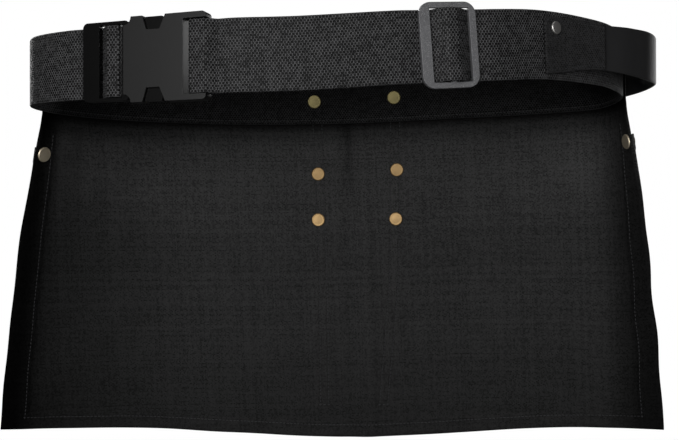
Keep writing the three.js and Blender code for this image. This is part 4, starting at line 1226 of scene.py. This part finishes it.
class APRON_OT_panel(bpy.types.Operator):
    """Builds the canvas panel with its turned hems"""

    bl_idname = "apron.panel"
    bl_label = "Panel"

    def execute(self, context):
        s = sizes()
        panel = Panel(Waist())
        side = s.side_hem / panel.run
        foot = s.foot_hem / panel.height
        soft = 1.0
        groove_width, groove_depth = 0.9, 0.6

        def relief(across, down):
            """Turned hems and the grooves of the seams."""
            edge = np.minimum(across, 1 - across)
            low = smoothstep((side - edge) * panel.run, -soft, soft)
            below = smoothstep((down - 1 + foot) * panel.height, -soft, soft)
            hang = smoothstep(down, panel.band_share * 1.3, panel.band_share * 1.3 + 0.01)
            groove = np.zeros(across.shape)
            for row in SEAM_ROWS:
                off = (across - seam_share(row, down)) * panel.run
                groove = np.maximum(groove, np.exp(-((off / groove_width) ** 2)))
            sewn = smoothstep(down, SEAM_TOP, SEAM_TOP + 0.01) * smoothstep(SEAM_FOOT + 0.01 - down, 0, 0.01)
            hem = s.hem_step * np.maximum(low, below) * hang
            return hem - groove_depth * groove * sewn, np.zeros(across.shape)

        def shade(across, down):
            """Painted shade on the wearer's side: darker under the band, towards the hem, along the sides
            and in the crease near the middle.
            """
            below_band = (down - panel.band_share) * panel.height
            top = 0.16 + 0.34 * smoothstep(below_band, 1.5, 8) + 0.5 * smoothstep(below_band, 4, 28)
            foot = (1 - 0.36 * smoothstep(down, 0.22, 0.52)) * (1 - 0.3 * smoothstep(down, 0.6, 1))
            middle, width = 0.517, 0.007
            # Painted shade along the crease near the middle of the top
            crease_shade = np.exp(-(((across - middle) / width) ** 2)) * (1 - smoothstep(down, 0.16, 0.42))
            left = 0.09 + 0.53 * smoothstep(across * panel.run, 5, 30) + 0.38 * smoothstep(across, 0.05, 0.3)
            right = 0.3 + 0.7 * smoothstep((1 - across) * panel.run, 4, 60)
            return top * foot * left * right * (1 - 0.4 * crease_shade), np.ones(across.shape)

        # Even rows and columns, with finer ones at the hems and the seams
        step_across, step_down = soft / panel.run, soft / panel.height
        columns = np.unique(np.concatenate([
            np.linspace(0, 1, 200),
            *[[place - step_across, place, place + step_across] for place in (side, 1 - side)],
            np.linspace(0.455, 0.479, 22),
            np.linspace(0.548, 0.609, 52),
        ]))
        rows = np.unique(np.concatenate([
            np.linspace(0, 1, 104), [1 - foot - step_down, 1 - foot, 1 - foot + step_down],
        ]))
        cloth = cloth_wall("panel_cloth", panel.middle, s.canvas_wall, columns, rows, material_of("canvas"),
                           relief=relief, shade=shade)
        settle(cloth, ["back_panel"])
        return {"FINISHED"}


class APRON_OT_pockets(bpy.types.Operator):
    """Builds the two main pockets and the small pockets on them"""

    bl_idname = "apron.pockets"
    bl_label = "Pockets"

    def execute(self, context):
        s = sizes()
        panel = Panel(Waist())
        canvas = material_of("canvas")
        mouth_hem, soft = 0.055, 0.004

        def relief(across, down):
            """The turned hem along the mouth."""
            return np.zeros(across.shape), s.hem_step * smoothstep(mouth_hem - down, -soft, soft)

        rows = np.unique(np.append(np.linspace(0, 1, 74), [mouth_hem - soft, mouth_hem, mouth_hem + soft]))
        for row in POCKET_ROWS:
            side = row["side"]
            flange = flange_of(row, panel)
            folds = [flange * 0.9, flange, 1 - flange, 1 - flange * 0.9]
            main_columns = np.unique(np.append(np.linspace(0, 1, 100), folds))
            small_columns = np.linspace(0, 1, 72)
            pair = (
                ("main", main_pocket_surface(panel, row), main_columns, "panel_cloth"),
                ("small", small_pocket_surface(panel, row), small_columns, f"main_pocket_{side}_cloth"),
            )
            for size, surface, columns, under in pair:
                node = f"{size}_pocket_{side}"
                cloth = cloth_wall(f"{node}_cloth", surface, s.pocket_wall, columns, rows, canvas,
                                   row["turn"], relief)
                settle(cloth, [node])
        return {"FINISHED"}


def hardware_copy(node, name, material, width):
    """A merged copy of a CAD node with rounded edges, in its place."""
    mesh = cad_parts[node].data.copy()
    mesh.name = name
    piece = placed(name, mesh)
    mesh.transform(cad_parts[node].matrix_world)
    mesh.materials.clear()
    mesh.materials.append(material)
    mesh.polygons.foreach_set("use_smooth", [True] * len(mesh.polygons))
    weld = piece.modifiers.new("Merge", "WELD")
    weld.merge_threshold = WELD_REACH
    flatten = piece.modifiers.new("Flat faces", "DECIMATE")
    flatten.decimate_type = "DISSOLVE"
    flatten.angle_limit = math.radians(FLAT_ANGLE)
    bevel = piece.modifiers.new("Rounding", "BEVEL")
    bevel.width = width * MM
    bevel.segments = ROUND_SEGMENTS
    bevel.limit_method = "ANGLE"
    bevel.angle_limit = math.radians(ROUND_ANGLE)
    bevel.use_clamp_overlap = True
    bpy.context.view_layer.update()
    ready = piece.evaluated_get(bpy.context.evaluated_depsgraph_get())
    rounded = bpy.data.meshes.new_from_object(ready)
    piece.modifiers.clear()
    piece.data = rounded
    flat_area = FLAT_AREA * MM * MM
    rounded.polygons.foreach_set("use_smooth", [face.area < flat_area for face in rounded.polygons])
    bpy.data.meshes.remove(mesh)
    settle(piece, [node])


class APRON_OT_buckle(bpy.types.Operator):
    """Builds the side-release buckle"""

    bl_idname = "apron.buckle"
    bl_label = "Buckle"

    def execute(self, context):
        width = hardware().buckle_round
        hardware_copy("buckle_tongue", "tongue", material_of("tongue"), width)
        hardware_copy("buckle_socket", "socket", material_of("buckle"), width)
        return {"FINISHED"}


class APRON_OT_adjuster(bpy.types.Operator):
    """Builds the slide adjuster"""

    bl_idname = "apron.adjuster"
    bl_label = "Adjuster"

    def execute(self, context):
        hardware_copy("slide_adjuster", "adjuster", material_of("adjuster"),
                      hardware().adjuster_round)
        return {"FINISHED"}


class APRON_OT_loop(bpy.types.Operator):
    """Builds the hammer loop's cloth and leather parts"""

    bl_idname = "apron.loop"
    bl_label = "Hammer loop"

    def execute(self, context):
        s = sizes()
        waist = Waist()
        cloth = strip("loop_cloth", waist, loop_stations(waist, 0, s.loop_seam, 0, 30), s.loop_wall,
                      material_of("loop_cloth"))
        settle(cloth, ["loop_strap"])
        start = s.loop_seam - s.loop_lap / s.loop_length
        bend = strip("loop_leather", waist, loop_stations(waist, start, 1, s.loop_wall + s.fit_gap, 90),
                     s.loop_wall, material_of("leather"))
        settle(bend, ["loop_bend"])
        return {"FINISHED"}


class APRON_OT_rivets(bpy.types.Operator):
    """Builds the rivets with domed caps"""

    bl_idname = "apron.rivets"
    bl_label = "Rivets"

    def execute(self, context):
        s = sizes()
        waist = Waist()
        panel = Panel(waist)
        seam = s.canvas_wall + s.cloth_gap + s.pocket_wall
        stacks = {
            "band": s.web_wall + s.cloth_gap + s.canvas_wall,
            "seam": seam,
            "small": seam + s.cloth_gap + s.pocket_wall,
        }
        for row in RIVET_ROWS:
            share, down = np.array(row["share"]), np.array(row["down"])
            out = outward(panel.middle, share, down)
            lift = s.web_wall + s.cloth_gap if row["layers"] == "band" else 0
            seat = panel.middle(share, down) - out * (s.canvas_wall / 2 + lift)
            self.rivet(row["node"], seat, -out, s.cap_diameter / 2, stacks[row["layers"]], row["metal"],
                       "brass")
        at = s.loop_start * waist.length + LOOP_RIVET_ALONG * s.loop_length
        seat = waist.point(at, s.web_wall / 2 + s.fit_gap + s.loop_wall, LOOP_RIVET_UP * s.web_width)
        _, out, _ = waist.axes(np.array(at))
        stack = s.loop_wall + s.fit_gap + s.web_wall
        self.rivet("loop_rivet", seat, out, s.loop_cap_diameter / 2, stack, "steel", "dark_steel")
        return {"FINISHED"}

    def rivet(self, node, seat, direction, cap, stack, metal, slot):
        """A rivet with its washer under the stack of layers and its domed cap over it."""
        gap = sizes().cloth_gap
        low = -stack - gap
        profile = [(radius, low + height) for radius, height in WASHER_RINGS]
        profile.append((SHANK_RADIUS, gap))
        for ring in CAP_RINGS:
            profile.append((cap * ring["share"] - ring["inset"], gap * ring["part"] + ring["rise"]))
        settle(lathe(node + "_round", profile, seat, direction, material_of(metal)), [node])


class APRON_OT_stitches(bpy.types.Operator):
    """Sews the seams of the panel, pockets, belt and loop"""

    bl_idname = "apron.stitches"
    bl_label = "Stitches"

    def execute(self, context):
        s = sizes()
        waist = Waist()
        panel = Panel(waist)
        thread = material_of("thread")
        sink = s.thread_radius * THREAD_SINK
        face = s.canvas_wall / 2 + sink
        in_groove = face - 0.3
        down = np.linspace(SEAM_TOP, SEAM_FOOT, 90)
        seams = [line_on(panel.middle, seam_share(row, down), down, -in_groove) for row in SEAM_ROWS]
        for first, second in ((0, 1), (2, 3)):
            across = np.linspace(SEAM_ROWS[first]["foot"], SEAM_ROWS[second]["foot"], 8)
            seams.append(line_on(panel.middle, across, SEAM_FOOT, -face))
        stitch_object("seam_stitches", seams, thread)

        hem_face = face + s.hem_step
        side = (s.side_hem - HEM_INSET) / panel.run
        foot = 1 - (s.foot_hem - HEM_INSET) / panel.height
        down = np.linspace(panel.band_share * 1.45, foot, 90)
        stitch_object("hem_stitches", [
            line_on(panel.middle, side, down, -hem_face),
            line_on(panel.middle, 1 - side, down, -hem_face),
            line_on(panel.middle, np.linspace(side, 1 - side, 160), foot, -hem_face),
            line_on(panel.middle, np.linspace(0.01, 0.99, 160), foot, face),
        ], thread)

        # Two lines on each mouth's hem, and two on the flat edges of the sides and the foot
        bags = []
        lift = s.pocket_wall / 2 + sink
        steps = np.linspace(0.01, 0.99, 90)
        for row in POCKET_ROWS:
            flange = flange_of(row, panel)
            main = main_pocket_surface(panel, row)
            for surface, size in ((main, 1), (small_pocket_surface(panel, row), s.small_share)):
                for down in (0.035, 0.047):
                    bags.append(line_on(surface, steps, down, lift + s.hem_step, row["turn"]))
                for place in (0.25, 0.75):
                    inset = flange * place / size
                    for across in (inset, 1 - inset):
                        bags.append(line_on(surface, across, steps, lift, row["turn"]))
            for place in (0.25, 0.75):
                bags.append(line_on(main, steps, 1 - flange * place, lift, row["turn"]))
        stitch_object("pocket_stitches", bags, thread)

        # Two seams through the band and the panel, seen from both sides
        at = np.linspace(s.panel_right + 0.004, s.panel_left - 0.004, 240) * waist.length
        faces = (-s.web_wall / 2 - sink, panel.out + s.canvas_wall / 2 + 0.1)
        heights = (-s.web_width / 2 + 3, s.web_width / 2 - 8)
        belt = [waist.point(at, out, up) for up in heights for out in faces]
        stitch_object("belt_stitches", belt, thread)

        face = s.loop_wall / 2 + sink
        rows = loop_stations(waist, 0.015, s.loop_seam - 0.01, 0, 40)
        at = [row["at"] - math.sin(row["heading"]) * face for row in rows]
        out = [row["out"] + math.cos(row["heading"]) * face for row in rows]
        loops = [
            waist.point(at, out, [row[edge] + inset for row in rows])
            for edge, inset in (("low", 3.0), ("high", -3.0))
        ]
        stitch_object("loop_stitches", loops, thread)
        return {"FINISHED"}


class APRON_PT_panel(bpy.types.Panel):
    """Buttons that build the apron piece by piece"""

    bl_idname = "APRON_PT_panel"
    bl_label = "Apron"
    bl_space_type = "VIEW_3D"
    bl_region_type = "UI"
    bl_category = "Apron"

    def draw(self, context):
        for name in STEPS:
            self.layout.operator(f"apron.{name}")


STEPS = ["stage", "web", "panel", "pockets", "buckle", "adjuster", "loop", "rivets", "stitches"]
CLASSES = [
    ApronSizes, HardwareSizes, ApronColours, APRON_OT_stage, APRON_OT_web, APRON_OT_panel, APRON_OT_pockets,
    APRON_OT_buckle, APRON_OT_adjuster, APRON_OT_loop, APRON_OT_rivets, APRON_OT_stitches, APRON_PT_panel,
]


def register():
    for cls in CLASSES:
        bpy.utils.register_class(cls)
    bpy.types.Scene.apron_sizes = bpy.props.PointerProperty(type=ApronSizes)
    bpy.types.Scene.apron_hardware = bpy.props.PointerProperty(type=HardwareSizes)
    bpy.types.Scene.apron_colours = bpy.props.PointerProperty(type=ApronColours)


def unregister():
    del bpy.types.Scene.apron_colours
    del bpy.types.Scene.apron_hardware
    del bpy.types.Scene.apron_sizes
    for cls in reversed(CLASSES):
        bpy.utils.unregister_class(cls)


def main():
    """Builds every piece in order."""
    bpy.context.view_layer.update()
    register()
    for name in STEPS:
        getattr(bpy.ops.apron, name)()
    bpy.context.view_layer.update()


if __name__ == "__main__":
    main()
